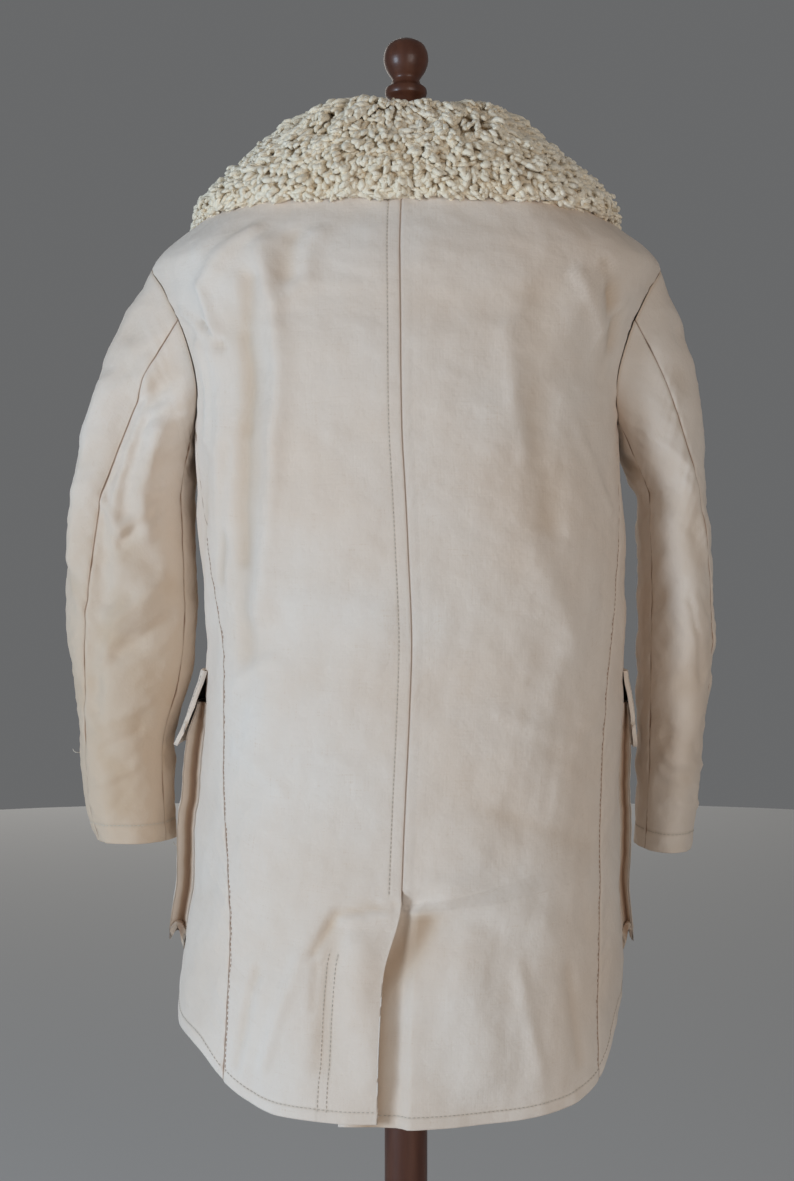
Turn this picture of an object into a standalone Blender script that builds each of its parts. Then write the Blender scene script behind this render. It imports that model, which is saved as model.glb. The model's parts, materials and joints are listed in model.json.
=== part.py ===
"""A long winter coat with a wide pile collar, worn by a limbless dress form on a turned wooden stand.

Metres, +Z up. The origin is the centre of the base's underside. The coat's front faces -Y and its back +Y,
so the wearer's left is +X. Angles on the body are in degrees from the centre back, positive to the wearer's left.
"""

import math
from collections import namedtuple

import bpy
import numpy as np
from mathutils import Vector
from mathutils.bvhtree import BVHTree

# Driving sizes
CLOTH = 0.0025
SEAM_GAP = 0.0005
BODY_ROUNDNESS = 2.4
SEAM_ANGLE = 91.0
BACK_NECK_HEIGHT = 1.490
NECK_POINT_HEIGHT = 1.497
BREAK_HEIGHT = 1.335
CENTRE_SEAM_ANGLE = 0.7

# Armhole
ARMHOLE_TOP = 1.388
ARMHOLE_BOTTOM = 1.210
ARMHOLE_HALF_ANGLE = 24.0
ARMHOLE_JOIN = 30.0
BACK_STATIONS = 8
FRONT_STATIONS = 11
ELBOW_STATION = 4
ELBOW_TURN = 105.0
SLEEVE_TWIST = {"left": 42.0, "right": 62.0}

# Back vent
VENT_TOP = 0.756
UNDERLAP_ANGLE = 10.6
UNDERLAP_INSET = 0.0085
VENT_DIMPLE = 0.015

# Front overlap
OVERLAP_ANGLE = 5.0
FRONT_UNDER_INSET = 0.0037
FRONT_STEP_ANGLE = 6.0

# Pile collar
PILE_HALF_THICKNESS = 0.008
COLLAR_REST_GAP = 0.0007

# Patch pockets and flaps
POCKET_BACK_ANGLE = 79.0
POCKET_FRONT_ANGLE = 124.0
POCKET_BOTTOM = 0.700
POCKET_TOP = 0.935
POCKET_DEPTH = {"left": 0.0165, "right": 0.0095}
POCKET_MOUTH_DEPTH = {"left": 0.0085, "right": 0.0045}
POCKET_WALL = 0.0018
POCKET_RAMP = 0.035
POCKET_RIM_GAP = 0.0009
POCKET_CORNER = 0.012
FLAP_ROOT = 0.968
FLAP_ROOT_GAP = 0.0010
FLAP_EDGE = 0.889
FLAP_THICKNESS = 0.0050
FLAP_LIFT = {"left": 0.0260, "right": 0.0135}
FLAP_OVERHANG_ANGLE = 1.0
FLAP_CORNER = 0.020

# Buttons
FRONT_BUTTON_RADIUS = 0.0135
SMALL_BUTTON_RADIUS = 0.0105
BUTTON_REST_GAP = 0.0007
BUTTON_THICKNESS = 0.0035
BUTTON_SIDES = 16
FRONT_BUTTON_HEIGHTS = (1.285, 1.125, 0.965, 0.805)
FRONT_BUTTON_ANGLE = 180.0
FLAP_BUTTON_ANGLE = 98.0
FLAP_BUTTON_HEIGHT = 0.906
CUFF_BUTTON_HEIGHT = 0.829

# Dress form and stand
FORM_REST_GAP = 0.0004
FORM_BOTTOM = 0.790
NECK_RADIUS = 0.056
FORM_NECK_TOP = 1.506
CAP_TOP = 1.516
FINIAL_TOP = 1.629
STEM_RADIUS = 0.0225
BASE_RADIUS = 0.195
BASE_THICKNESS = 0.030
BASE_BOSS_TOP = 0.058
TURNED_SIDES = 32

TorsoRing = namedtuple("TorsoRing", "height centre_x half_width back_depth front_depth")
TORSO_RINGS = (
    TorsoRing(0.520, 0.008, 0.236, 0.198, 0.180),
    TorsoRing(0.635, 0.006, 0.231, 0.191, 0.174),
    TorsoRing(0.724, 0.001, 0.224, 0.184, 0.167),
    TorsoRing(0.829, -0.003, 0.219, 0.176, 0.160),
    TorsoRing(0.935, -0.008, 0.217, 0.170, 0.155),
    TorsoRing(0.998, -0.010, 0.217, 0.168, 0.152),
    TorsoRing(1.082, -0.007, 0.2205, 0.170, 0.152),
    TorsoRing(1.145, -0.004, 0.221, 0.172, 0.153),
    TorsoRing(1.198, -0.001, 0.220, 0.173, 0.152),
    TorsoRing(1.251, 0.000, 0.222, 0.172, 0.148),
    TorsoRing(1.303, 0.000, 0.238, 0.167, 0.139),
    TorsoRing(1.356, 0.000, 0.257, 0.158, 0.124),
    TorsoRing(1.385, 0.000, 0.2635, 0.150, 0.112),
    TorsoRing(1.405, 0.000, 0.245, 0.143, 0.104),
    TorsoRing(1.424, 0.000, 0.219, 0.134, 0.095),
    TorsoRing(1.449, 0.000, 0.175, 0.118, 0.083),
    TorsoRing(1.473, 0.000, 0.128, 0.099, 0.071),
    TorsoRing(1.500, 0.000, 0.079, 0.077, 0.058),
)

# The hem rises at each side, as a curved tail does.
HemPoint = namedtuple("HemPoint", "angle left_height right_height")
HEM = (
    HemPoint(0, 0.557, 0.552),
    HemPoint(15, 0.558, 0.553),
    HemPoint(30, 0.563, 0.556),
    HemPoint(42, 0.582, 0.563),
    HemPoint(52, 0.606, 0.578),
    HemPoint(66, 0.618, 0.618),
    HemPoint(90, 0.640, 0.642),
    HemPoint(120, 0.622, 0.622),
    HemPoint(145, 0.585, 0.585),
    HemPoint(165, 0.568, 0.568),
    HemPoint(200, 0.566, 0.566),
)

# The seam between back and front runs towards the back as it goes down.
SideSeamPoint = namedtuple("SideSeamPoint", "height left_angle right_angle")
SIDE_SEAM = (
    SideSeamPoint(0.560, 42.5, 52.0),
    SideSeamPoint(0.640, 43.0, 53.0),
    SideSeamPoint(0.730, 46.0, 55.5),
    SideSeamPoint(0.860, 55.0, 56.5),
    SideSeamPoint(0.990, 60.0, 60.0),
    SideSeamPoint(1.080, 66.0, 66.5),
    SideSeamPoint(1.145, 71.0, 71.5),
    SideSeamPoint(1.2219, 79.0, 79.0),
)

# Each row's height at the centre back and at the side seam, from the hem to the armhole. The vent's top takes
# four close rows.
BodyRow = namedtuple("BodyRow", "back_height side_share front_height")
BODY_ROWS = (
    BodyRow(0.556, 0.00, 0.566),
    BodyRow(0.595, 0.06, 0.605),
    BodyRow(0.640, 0.13, 0.650),
    BodyRow(0.690, 0.21, 0.695),
    BodyRow(0.735, 0.28, 0.735),
    BodyRow(0.752, 0.32, 0.760),
    BodyRow(0.756, 0.36, 0.785),
    BodyRow(0.7715, 0.41, 0.815),
    BodyRow(0.830, 0.50, 0.860),
    BodyRow(0.905, 0.60, 0.905),
    BodyRow(0.985, 0.71, 0.950),
    BodyRow(1.070, 0.82, 0.990),
    BodyRow(1.150, 0.92, 1.015),
    BodyRow(1.205, 1.00, 1.030),
)
ARMHOLE_BACK_TOP = 1.385
ARMHOLE_FRONT_TOP = 1.300

# Columns across a panel, as shares from its centre edge to its side edge.
BACK_COLUMNS = (0.0, 0.022, 0.044, 0.066, 0.16, 0.27, 0.38, 0.49, 0.60, 0.71, 0.82, 0.92, 1.0)
FRONT_COLUMNS = (0.0, 0.03, 0.06, 0.10, 0.19, 0.29, 0.39, 0.49, 0.59, 0.69, 0.79, 0.89, 1.0)
SEAM_COLUMNS = 3
NECKLINE = ((91, 1.497), (118, 1.493), (138, 1.484), (153, 1.468), (164, 1.440), (172, 1.400), (180, 1.335))

# Soft ridges and troughs of the worn cloth. A positive rise stands out.
Fold = namedtuple("Fold", "from_angle from_height to_angle to_height half_width rise")
BODY_FOLDS = (
    Fold(31, 1.345, 41, 1.235, 0.013, -0.0085),
    Fold(41, 1.235, 51, 1.080, 0.013, -0.0080),
    Fold(26, 1.330, 31, 1.190, 0.014, 0.0050),
    Fold(31, 1.190, 45, 1.030, 0.014, 0.0050),
    Fold(56, 1.290, 60, 1.120, 0.014, 0.0045),
    Fold(-50, 1.345, -58, 1.295, 0.011, -0.0065),
    Fold(-28, 1.330, -33, 1.120, 0.022, -0.0040),
    Fold(-40, 1.000, -28, 1.080, 0.018, 0.0035),
    Fold(-30, 0.740, -8, 0.765, 0.016, 0.0040),
    Fold(14, 0.735, 14, 0.610, 0.010, -0.0040),
    Fold(8, 0.720, 4, 0.600, 0.012, 0.0040),
    Fold(-10, 0.720, -16, 0.600, 0.020, 0.0040),
    Fold(140, 1.300, 150, 1.120, 0.018, -0.0050),
    Fold(-140, 1.300, -150, 1.120, 0.018, -0.0050),
    Fold(158, 0.900, 164, 0.640, 0.020, 0.0045),
    Fold(-158, 0.900, -164, 0.640, 0.020, 0.0045),
)
METRES_PER_DEGREE = 0.0036
HEM_WAVES = 7
HEM_WAVE_HEIGHT = 0.003
HEM_WAVE_TOP = 0.700

SleeveRing = namedtuple("SleeveRing", "height centre_x centre_y half_width half_depth")
LEFT_SLEEVE = (
    SleeveRing(1.150, 0.2880, -0.004, 0.0640, 0.066),
    SleeveRing(1.080, 0.2890, -0.008, 0.0675, 0.064),
    SleeveRing(1.000, 0.2895, -0.013, 0.0675, 0.062),
    SleeveRing(0.945, 0.2915, -0.018, 0.0600, 0.060),
    SleeveRing(0.900, 0.2965, -0.022, 0.0500, 0.058),
    SleeveRing(0.860, 0.2970, -0.026, 0.0480, 0.055),
    SleeveRing(0.825, 0.2950, -0.029, 0.0465, 0.053),
    SleeveRing(0.786, 0.2890, -0.031, 0.0420, 0.050),
)
RIGHT_SLEEVE = (
    SleeveRing(1.150, 0.2790, -0.004, 0.0345, 0.083),
    SleeveRing(1.080, 0.2830, -0.008, 0.0355, 0.084),
    SleeveRing(1.000, 0.2850, -0.013, 0.0370, 0.083),
    SleeveRing(0.945, 0.2835, -0.018, 0.0350, 0.080),
    SleeveRing(0.900, 0.2815, -0.022, 0.0325, 0.077),
    SleeveRing(0.860, 0.2805, -0.026, 0.0315, 0.074),
    SleeveRing(0.825, 0.2785, -0.029, 0.0300, 0.070),
    SleeveRing(0.779, 0.2745, -0.031, 0.0280, 0.066),
)
CAP_SHARES = (0.0, 0.12, 0.27, 0.45, 0.65, 0.84)
SLEEVE_STEPS = 11
CAP_BULGE = 0.016
SLEEVE_FOLDS = {
    "left": (
        Fold(108, 1.240, 112, 1.040, 0.013, -0.0100),
        Fold(118, 1.040, 122, 0.930, 0.013, -0.0060),
        Fold(55, 1.060, 95, 1.020, 0.012, 0.0050),
        Fold(50, 1.020, 95, 0.985, 0.012, -0.0050),
        Fold(75, 1.210, 70, 1.110, 0.013, 0.0050),
    ),
    "right": (
        Fold(60, 0.905, 120, 0.890, 0.009, -0.0030),
        Fold(150, 1.000, 190, 0.985, 0.011, 0.0035),
        Fold(50, 0.850, 130, 0.835, 0.008, -0.0030),
    ),
}
SLEEVE_METRES_PER_DEGREE = 0.0011

CollarRow = namedtuple("CollarRow", "angle roll_radius roll_height edge_angle edge_height crown")
COLLAR_ROWS = (
    CollarRow(0, 0.090, 1.527, 0, 1.436, 0.014),
    CollarRow(30, 0.091, 1.528, 30, 1.434, 0.015),
    CollarRow(60, 0.094, 1.530, 60, 1.431, 0.015),
    CollarRow(88, 0.098, 1.530, 88, 1.430, 0.014),
    CollarRow(112, 0.100, 1.521, 112, 1.418, 0.015),
    CollarRow(132, 0.106, 1.504, 131, 1.394, 0.014),
    CollarRow(148, 0.117, 1.478, 144, 1.352, 0.012),
    CollarRow(160, 0.129, 1.443, 153, 1.305, 0.010),
    CollarRow(168, 0.140, 1.402, 159, 1.270, 0.008),
    CollarRow(176, 0.151, 1.358, 165, 1.245, 0.006),
)
COLLAR_STATIONS_A_SIDE = 15
COLLAR_SECTION_STEPS = 10
COLLAR_HEM_THICKNESS = ((0.0, 0.0020), (0.16, 0.0060), (0.32, 0.0080), (0.88, 0.0080), (1.0, 0.0045))

FormInset = namedtuple("FormInset", "height inset side_inset")
FORM_INSETS = (
    FormInset(0.780, 0.040, 0.000),
    FormInset(0.880, 0.030, 0.000),
    FormInset(0.960, 0.034, 0.000),
    FormInset(1.080, 0.044, 0.000),
    FormInset(1.200, 0.026, 0.006),
    FormInset(1.300, 0.018, 0.028),
    FormInset(1.360, 0.011, 0.050),
    FormInset(1.395, 0.006, 0.045),
    FormInset(1.418, 0.000, 0.012),
    FormInset(1.432, 0.000, 0.000),
    FormInset(1.510, 0.000, 0.000),
)
FORM_HEIGHTS = (0.790, 0.802, 0.880, 0.960, 1.040, 1.120, 1.200, 1.280, 1.335,
                1.370, 1.395, 1.410, 1.422, 1.436, 1.450, 1.465, 1.480)
FORM_COLUMNS = 32
FORM_FRONT_INSET = 0.002
NECK_BLEND = ((0.32, 1.4860), (0.64, 1.4905), (0.88, 1.4960), (1.0, 1.5020), (1.0, FORM_NECK_TOP))

CAP_PROFILE = ((0.000, FORM_NECK_TOP + 0.0004), (0.058, FORM_NECK_TOP + 0.0004), (0.059, 1.5100), (0.056, CAP_TOP),
               (0.000, CAP_TOP))
FINIAL_PROFILE = ((0.000, CAP_TOP + 0.0004), (0.020, CAP_TOP + 0.0004), (0.0200, 1.520), (0.0135, 1.526),
                  (0.0120, 1.545), (0.0135, 1.560), (0.0175, 1.566), (0.0215, 1.570), (0.0215, 1.577),
                  (0.0160, 1.582), (0.0145, 1.587), (0.0175, 1.592), (0.0215, 1.599), (0.0235, 1.607),
                  (0.0228, 1.615), (0.0190, 1.623), (0.0115, 1.628), (0.000, FINIAL_TOP))
BASE_PROFILE = ((0.000, 0.0), (0.190, 0.0), (BASE_RADIUS, 0.005), (BASE_RADIUS, 0.018), (0.188, 0.026),
                (0.170, BASE_THICKNESS), (0.060, 0.034), (0.046, 0.040), (0.044, 0.050), (0.034, BASE_BOSS_TOP),
                (0.000, BASE_BOSS_TOP))

MaterialLook = namedtuple("MaterialLook", "colour roughness metallic")
LOOKS = {
    "canvas": MaterialLook((0.66, 0.57, 0.49), 0.90, 0.0),
    "pile": MaterialLook((0.74, 0.67, 0.50), 0.95, 0.0),
    "button": MaterialLook((0.72, 0.70, 0.66), 0.35, 0.0),
    "form_cover": MaterialLook((0.62, 0.55, 0.45), 0.90, 0.0),
    "wood": MaterialLook((0.16, 0.055, 0.025), 0.35, 0.0),
}


def read_smoothly(stations, values, at):
    """Values at any point between stations, on a smooth curve through them."""
    stations = np.asarray(stations, float)
    values = np.asarray(values, float)
    slopes = np.gradient(values, stations)
    at = np.clip(at, stations[0], stations[-1])
    index = np.clip(np.searchsorted(stations, at, side="right") - 1, 0, len(stations) - 2)
    span = stations[index + 1] - stations[index]
    share = (at - stations[index]) / span
    square, cube = share**2, share**3
    return (
        values[index] * (2 * cube - 3 * square + 1)
        + slopes[index] * span * (cube - 2 * square + share)
        + values[index + 1] * (3 * square - 2 * cube)
        + slopes[index + 1] * span * (cube - square)
    )


def column(table, name):
    return [getattr(row, name) for row in table]


def ease(share):
    share = np.clip(share, 0.0, 1.0)
    return share * share * (3.0 - 2.0 * share)


def unit(vectors):
    return vectors / np.maximum(np.linalg.norm(vectors, axis=-1, keepdims=True), 1e-12)


def signed_power(value, power):
    return np.sign(value) * np.abs(value) ** power


def torso_ring(height, name):
    return read_smoothly(column(TORSO_RINGS, "height"), column(TORSO_RINGS, name), height)


def smooth_torso(angle, height):
    """The coat's outer surface without folds."""
    angle, height = np.broadcast_arrays(np.asarray(angle, float), np.asarray(height, float))
    turn = np.radians(angle)
    power = 2.0 / BODY_ROUNDNESS
    across = signed_power(np.sin(turn), power)
    along = signed_power(np.cos(turn), power)
    depth = np.where(along > 0, torso_ring(height, "back_depth"), torso_ring(height, "front_depth"))
    x = torso_ring(height, "centre_x") + torso_ring(height, "half_width") * across
    return np.stack([x, depth * along, height], axis=-1)


def torso_normal(angle, height):
    angle, height = np.broadcast_arrays(np.asarray(angle, float), np.asarray(height, float))
    turn, rise = 1.5, 0.003
    around = smooth_torso(angle + turn, height) - smooth_torso(angle - turn, height)
    upward = smooth_torso(angle, height + rise) - smooth_torso(angle, height - rise)
    return unit(np.cross(upward, around))


def fold_rise(folds, angle, height, metres_per_degree):
    """How far the folds move the cloth out at a point."""
    total = np.zeros(np.broadcast(angle, height).shape)
    for fold in folds:
        start = np.array([fold.from_angle * metres_per_degree, fold.from_height])
        end = np.array([fold.to_angle * metres_per_degree, fold.to_height])
        run = end - start
        across = np.asarray(angle) * metres_per_degree - start[0]
        upward = np.asarray(height) - start[1]
        share = np.clip((across * run[0] + upward * run[1]) / (run @ run), 0.0, 1.0)
        distance = np.hypot(across - share * run[0], upward - share * run[1])
        total = total + fold.rise * np.exp(-((distance / fold.half_width) ** 2))
    return total


def body_rise(angle, height):
    """Folds of the body, with a soft wave in the hem."""
    wave = np.sin(np.radians(angle) * HEM_WAVES + 0.7) * ease((HEM_WAVE_TOP - height) / 0.14)
    return fold_rise(BODY_FOLDS, angle, height, METRES_PER_DEGREE) + HEM_WAVE_HEIGHT * wave


def torso(angle, height, offset=0.0):
    """A point of the coat's outer surface, moved out by offset."""
    angle, height = np.broadcast_arrays(np.asarray(angle, float), np.asarray(height, float))
    move = body_rise(angle, height) + offset
    return smooth_torso(angle, height) + torso_normal(angle, height) * np.asarray(move)[..., None]


def angle_for(distance, angle, height):
    """The turn in degrees that moves a point this far around the body."""
    step = smooth_torso(angle + 0.5, height) - smooth_torso(angle - 0.5, height)
    return distance / np.linalg.norm(step, axis=-1)


def hem_height(side, angle):
    name = "left_height" if side > 0 else "right_height"
    return read_smoothly(column(HEM, "angle"), column(HEM, name), np.abs(angle))


def side_seam_angle(side, height):
    name = "left_angle" if side > 0 else "right_angle"
    return read_smoothly(column(SIDE_SEAM, "height"), column(SIDE_SEAM, name), height)


def side_stations(side):
    """(angle, height) of each body row on the side seam, the same for back and front."""
    bottom = hem_height(side, side_seam_angle(side, 0.60))
    join_angle, join_height = armhole_at(ARMHOLE_JOIN)
    rows = []
    for row in BODY_ROWS:
        height = bottom + (join_height - bottom) * row.side_share
        rows.append((float(side_seam_angle(side, height)), float(height)))
    rows[-1] = (join_angle, join_height)
    return rows


def armhole_at(turn):
    """(angle, height) on the armhole. Turn 0 is its bottom, 90 its back and 180 its top."""
    middle = (ARMHOLE_TOP + ARMHOLE_BOTTOM) / 2
    half = (ARMHOLE_TOP - ARMHOLE_BOTTOM) / 2
    radians = math.radians(turn)
    return SEAM_ANGLE - ARMHOLE_HALF_ANGLE * math.sin(radians), middle - half * math.cos(radians)


def armhole_turns():
    """The turns of the armhole's corners, from the join up the back, and from the join down round the front."""
    back = np.linspace(ARMHOLE_JOIN, 180.0, BACK_STATIONS + 1)
    front = np.linspace(ARMHOLE_JOIN, -180.0, FRONT_STATIONS + 1)
    return back, front


def shoulder_heights():
    return (1.405, 1.425, 1.448, 1.472, NECK_POINT_HEIGHT)


def faces_outward(vertices, faces):
    """The faces, turned round where they point inwards."""
    corners = np.asarray(vertices, float)
    volume = 0.0
    for face in faces:
        for i in range(1, len(face) - 1):
            a, b, c = corners[face[0]], corners[face[i]], corners[face[i + 1]]
            volume += float(np.dot(a, np.cross(b, c)))
    return [tuple(reversed(face)) for face in faces] if volume < 0 else faces


def make_object(name, vertices, faces, look):
    mesh = bpy.data.meshes.new(name)
    mesh.from_pydata([tuple(map(float, v)) for v in vertices], [], faces_outward(vertices, faces))
    mesh.shade_smooth()
    mesh.set_sharp_from_angle(angle=math.radians(50))
    obj = bpy.data.objects.new(name, mesh)
    bpy.context.scene.collection.objects.link(obj)
    mesh.materials.append(bpy.data.materials[look])
    return obj


def wall_faces(rows, columns):
    """Faces of a wall between two grids of points, the outer one first, closed along all four edges."""
    count = rows * columns
    faces = []
    for row in range(rows - 1):
        for col in range(columns - 1):
            corner = row * columns + col
            quad = (corner, corner + 1, corner + columns + 1, corner + columns)
            faces.append(quad)
            faces.append(tuple(count + i for i in reversed(quad)))
    border = list(range(columns))
    border += [row * columns + columns - 1 for row in range(1, rows)]
    border += [(rows - 1) * columns + col for col in range(columns - 2, -1, -1)]
    border += [row * columns for row in range(rows - 2, 0, -1)]
    for here, there in zip(border, border[1:] + border[:1]):
        faces.append((there, here, count + here, count + there))
    return faces


def make_wall(name, outer, inner, look):
    rows, columns = outer.shape[:2]
    vertices = np.concatenate([outer.reshape(-1, 3), inner.reshape(-1, 3)])
    return make_object(name, vertices, wall_faces(rows, columns), look)


def panel_grid(side, centre, edge, shares, corner_rise):
    """Angles and heights of a panel, from its centre edge to its side edge.

    corner_rise(angle) gives the hem's height, which bends the lowest rows."""
    shares = np.asarray(shares)
    centre, edge = np.asarray(centre, float), np.asarray(edge, float)
    angle = centre[:, None, 0] * (1 - shares) + edge[:, None, 0] * shares
    height = centre[:, None, 1] * (1 - shares) + edge[:, None, 1] * shares
    fade = np.linspace(1.0, 0.0, len(centre))[:, None] ** 5
    height = height + (corner_rise(angle[0]) - height[0]) * fade
    return side * angle, height


def back_panel(side):
    """One half of the back, with the vent's overlap on the wearer's left and its underlap on the right."""
    turns, _ = armhole_turns()
    edge = side_stations(side) + [armhole_at(t) for t in turns[1:]]
    edge += [(SEAM_ANGLE, h) for h in shoulder_heights()]
    armhole_rows, shoulder_rows = len(turns) - 1, len(shoulder_heights())
    heights = column(BODY_ROWS, "back_height")
    heights += list(np.linspace(heights[-1], ARMHOLE_BACK_TOP, armhole_rows + 1)[1:])
    heights += list(np.linspace(ARMHOLE_BACK_TOP, BACK_NECK_HEIGHT, shoulder_rows + 1)[1:])
    heights = np.array(heights)
    angle, height = panel_grid(
        side,
        [(0.0, h) for h in heights],
        edge,
        BACK_COLUMNS,
        lambda a: hem_height(side, a),
    )
    in_vent = heights < VENT_TOP - 0.001
    seam = CENTRE_SEAM_ANGLE
    gap = angle_for(SEAM_GAP / 2, 0.0, heights)
    if side > 0:
        opening = ease((VENT_TOP - heights) / 0.07) * 2.3
        first = seam + gap + opening
        inset = np.zeros_like(angle)
    else:
        first = np.where(in_vent, UNDERLAP_ANGLE, seam - gap)
        inset = None
    last_near = side * 3.0 + np.zeros_like(heights)
    near = np.linspace(0.0, 1.0, SEAM_COLUMNS + 1)
    for c in range(SEAM_COLUMNS + 1):
        angle[:, c] = first * (1 - near[c]) + last_near * near[c]
    far = np.asarray(BACK_COLUMNS[SEAM_COLUMNS:])
    share = (far - far[0]) / (far[-1] - far[0])
    angle[:, SEAM_COLUMNS:] = last_near[:, None] * (1 - share) + angle[:, -1:] * share
    side_gap = angle_for(SEAM_GAP / 2, angle[:, -1], height[:, -1])
    body_rows = len(BODY_ROWS)
    pull = np.zeros(len(heights))
    pull[:body_rows] = 1.0
    pull[-shoulder_rows:] = 1.0
    angle[:, -1] -= side * side_gap * pull
    if inset is None:
        angle[in_vent, 1] = 1.6
        angle[in_vent, 2] = 0.2
        inset = underlap_inset(angle, height, in_vent)
    return angle, height, inset


def underlap_inset(angle, height, in_vent):
    """The underlap lies inside the overlap, and the cloth above it is drawn in to meet it."""
    across = 1.0 - ease((0.4 - angle) / 1.6)
    inset = np.where(in_vent[:, None], UNDERLAP_INSET * across, 0.0)
    dimple = np.where(~in_vent, ease(1.0 - (height[:, 0] - VENT_TOP) / VENT_DIMPLE), 0.0)
    return inset + UNDERLAP_INSET * dimple[:, None] * np.exp(-(((angle - 0.7) / 4.0) ** 2))


def front_panel(side):
    """One front, which wraps round the side to the seam on the back."""
    _, turns = armhole_turns()
    edge = side_stations(side) + [armhole_at(t) for t in turns[1:]]
    edge += [(SEAM_ANGLE, h) for h in shoulder_heights()]
    armhole_rows, shoulder_rows = len(turns) - 1, len(shoulder_heights())
    heights = column(BODY_ROWS, "front_height")
    heights += list(np.linspace(heights[-1], ARMHOLE_FRONT_TOP, armhole_rows + 1)[1:])
    heights += list(np.linspace(ARMHOLE_FRONT_TOP, BREAK_HEIGHT, shoulder_rows + 1)[1:])
    centre = [(180.0 + OVERLAP_ANGLE, h) for h in heights]
    angle, height = panel_grid(side, centre, edge, FRONT_COLUMNS, lambda a: hem_height(side, a))
    angle, height = neckline_bend(side, angle, height)
    body_rows = len(BODY_ROWS)
    side_gap = angle_for(SEAM_GAP / 2, angle[:, -1], height[:, -1])
    pull = np.zeros(len(heights))
    pull[:body_rows] = 1.0
    pull[-shoulder_rows:] = 1.0
    angle[:, -1] += side * side_gap * pull
    past = np.abs(angle) - (180.0 - OVERLAP_ANGLE - FRONT_STEP_ANGLE)
    inset = FRONT_UNDER_INSET * ease(past / FRONT_STEP_ANGLE) if side < 0 else np.zeros_like(angle)
    return angle, height, inset


def neckline_bend(side, angle, height):
    """Bends the highest rows into the curve of the neckline."""
    line_angles, line_heights = zip(*NECKLINE)
    rows = len(angle)
    weight = np.linspace(0.0, 1.0, rows)[:, None] ** 7
    share = (np.abs(angle[-1]) - SEAM_ANGLE) / (180.0 + OVERLAP_ANGLE - SEAM_ANGLE)
    target_angle = SEAM_ANGLE + (180.0 + OVERLAP_ANGLE - SEAM_ANGLE) * share**0.62
    target_height = read_smoothly(line_angles, line_heights, np.minimum(target_angle, 180.0))
    angle = angle + weight * (side * target_angle - angle[-1])
    return angle, height + weight * (target_height - height[-1])


def build_body():
    for side, label in ((1, "left"), (-1, "right")):
        for name, maker in (("back", back_panel), ("front", front_panel)):
            angle, height, inset = maker(side)
            outer = torso(angle, height, -inset)
            inner = torso(angle, height, -inset - CLOTH)
            make_wall(f"{name}_{label}", outer, inner, "canvas")


def armhole_corners(side, turns):
    """Points of the armhole's edge on the coat's outer surface, with the way into the hole."""
    pairs = [armhole_at(t) for t in turns]
    angle = side * np.array([p[0] for p in pairs])
    height = np.array([p[1] for p in pairs])
    points = torso(angle, height)
    normals = torso_normal(angle, height)
    middle = torso(np.array(side * SEAM_ANGLE), np.array((ARMHOLE_TOP + ARMHOLE_BOTTOM) / 2))
    inward = middle - points
    inward = inward - (inward * normals).sum(-1, keepdims=True) * normals
    return points, unit(inward)


def free_ring(side, table, height, turn):
    """Points of the hanging sleeve. Turn 0 faces the body, 90 the back and 180 outwards."""
    heights = column(table, "height")[::-1]

    def read(name):
        return read_smoothly(heights, column(table, name)[::-1], height)

    radians = np.radians(turn)
    x = read("centre_x") - read("half_width") * np.cos(radians)
    y = read("centre_y") + read("half_depth") * np.sin(radians)
    return np.stack(np.broadcast_arrays(side * x, y, height), axis=-1)


def sleeve_surface(side, label, table, turns, corners, inward):
    """Grid of a sleeve piece's outer surface from the armhole to the cuff, with its normals.

    The elbow seam moves outwards on its way down, so the columns turn with it."""
    rows = len(CAP_SHARES) + SLEEVE_STEPS
    drift = np.interp(turns, [ARMHOLE_JOIN, ELBOW_TURN, ARMHOLE_JOIN + 360.0], [0.0, 1.0, 0.0])
    turned = turns + SLEEVE_TWIST[label] * ease((np.arange(rows)[:, None] - 1) / (rows - 1)) * drift
    share = np.array(CAP_SHARES)[:, None]
    cap_turns, free_turns = turned[: len(CAP_SHARES)], turned[len(CAP_SHARES):]
    first_ring = free_ring(side, table, table[0].height, cap_turns)
    start = corners + inward * SEAM_GAP
    cap = start * (1 - share[..., None]) + first_ring * share[..., None]
    bulge = CAP_BULGE * np.sin(np.pi * share) * (0.5 - 0.5 * np.cos(np.radians(turns)))
    cap = cap + bulge[..., None] * np.array([side * 0.8, 0.0, 0.6])
    heights = np.linspace(table[0].height, table[-1].height, SLEEVE_STEPS)[:, None]
    grid = np.concatenate([cap, free_ring(side, table, heights, free_turns)])
    rise = fold_rise(SLEEVE_FOLDS[label], turned, grid[..., 2], SLEEVE_METRES_PER_DEGREE)
    rise = rise * ease((np.arange(rows)[:, None] - 0.5) / 2.0)
    grid = grid + sleeve_normals(side, grid) * rise[..., None]
    return grid, sleeve_normals(side, grid)


def sleeve_normals(side, grid):
    """Outward normals. The last column is the first one again, a full turn on."""
    wrapped = np.concatenate([grid[:, -2:-1], grid, grid[:, 1:2]], axis=1)
    around = np.gradient(wrapped, axis=1)[:, 1:-1]
    return unit(np.cross(around, np.gradient(grid, axis=0))) * side


def sleeve_columns(side):
    """Turns, armhole corners and ways inward all round a sleeve, and the column of its elbow seam."""
    back, front = armhole_turns()
    under = np.linspace(0, ELBOW_STATION, ELBOW_STATION * 2 + 1)
    shares = np.concatenate([under, np.arange(ELBOW_STATION + 1, len(back) + len(front) - 1)])
    turns = np.concatenate([back, (front + 360.0)[::-1][1:]])
    corners, inward = armhole_corners(side, np.where(turns > 180.0, turns - 360.0, turns))
    index = np.arange(len(turns))
    columns = [np.interp(shares, index, turns)]
    for source in (corners, inward):
        columns.append(np.stack([np.interp(shares, index, source[:, k]) for k in range(3)], -1))
    return (*columns, len(under) - 1)


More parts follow.
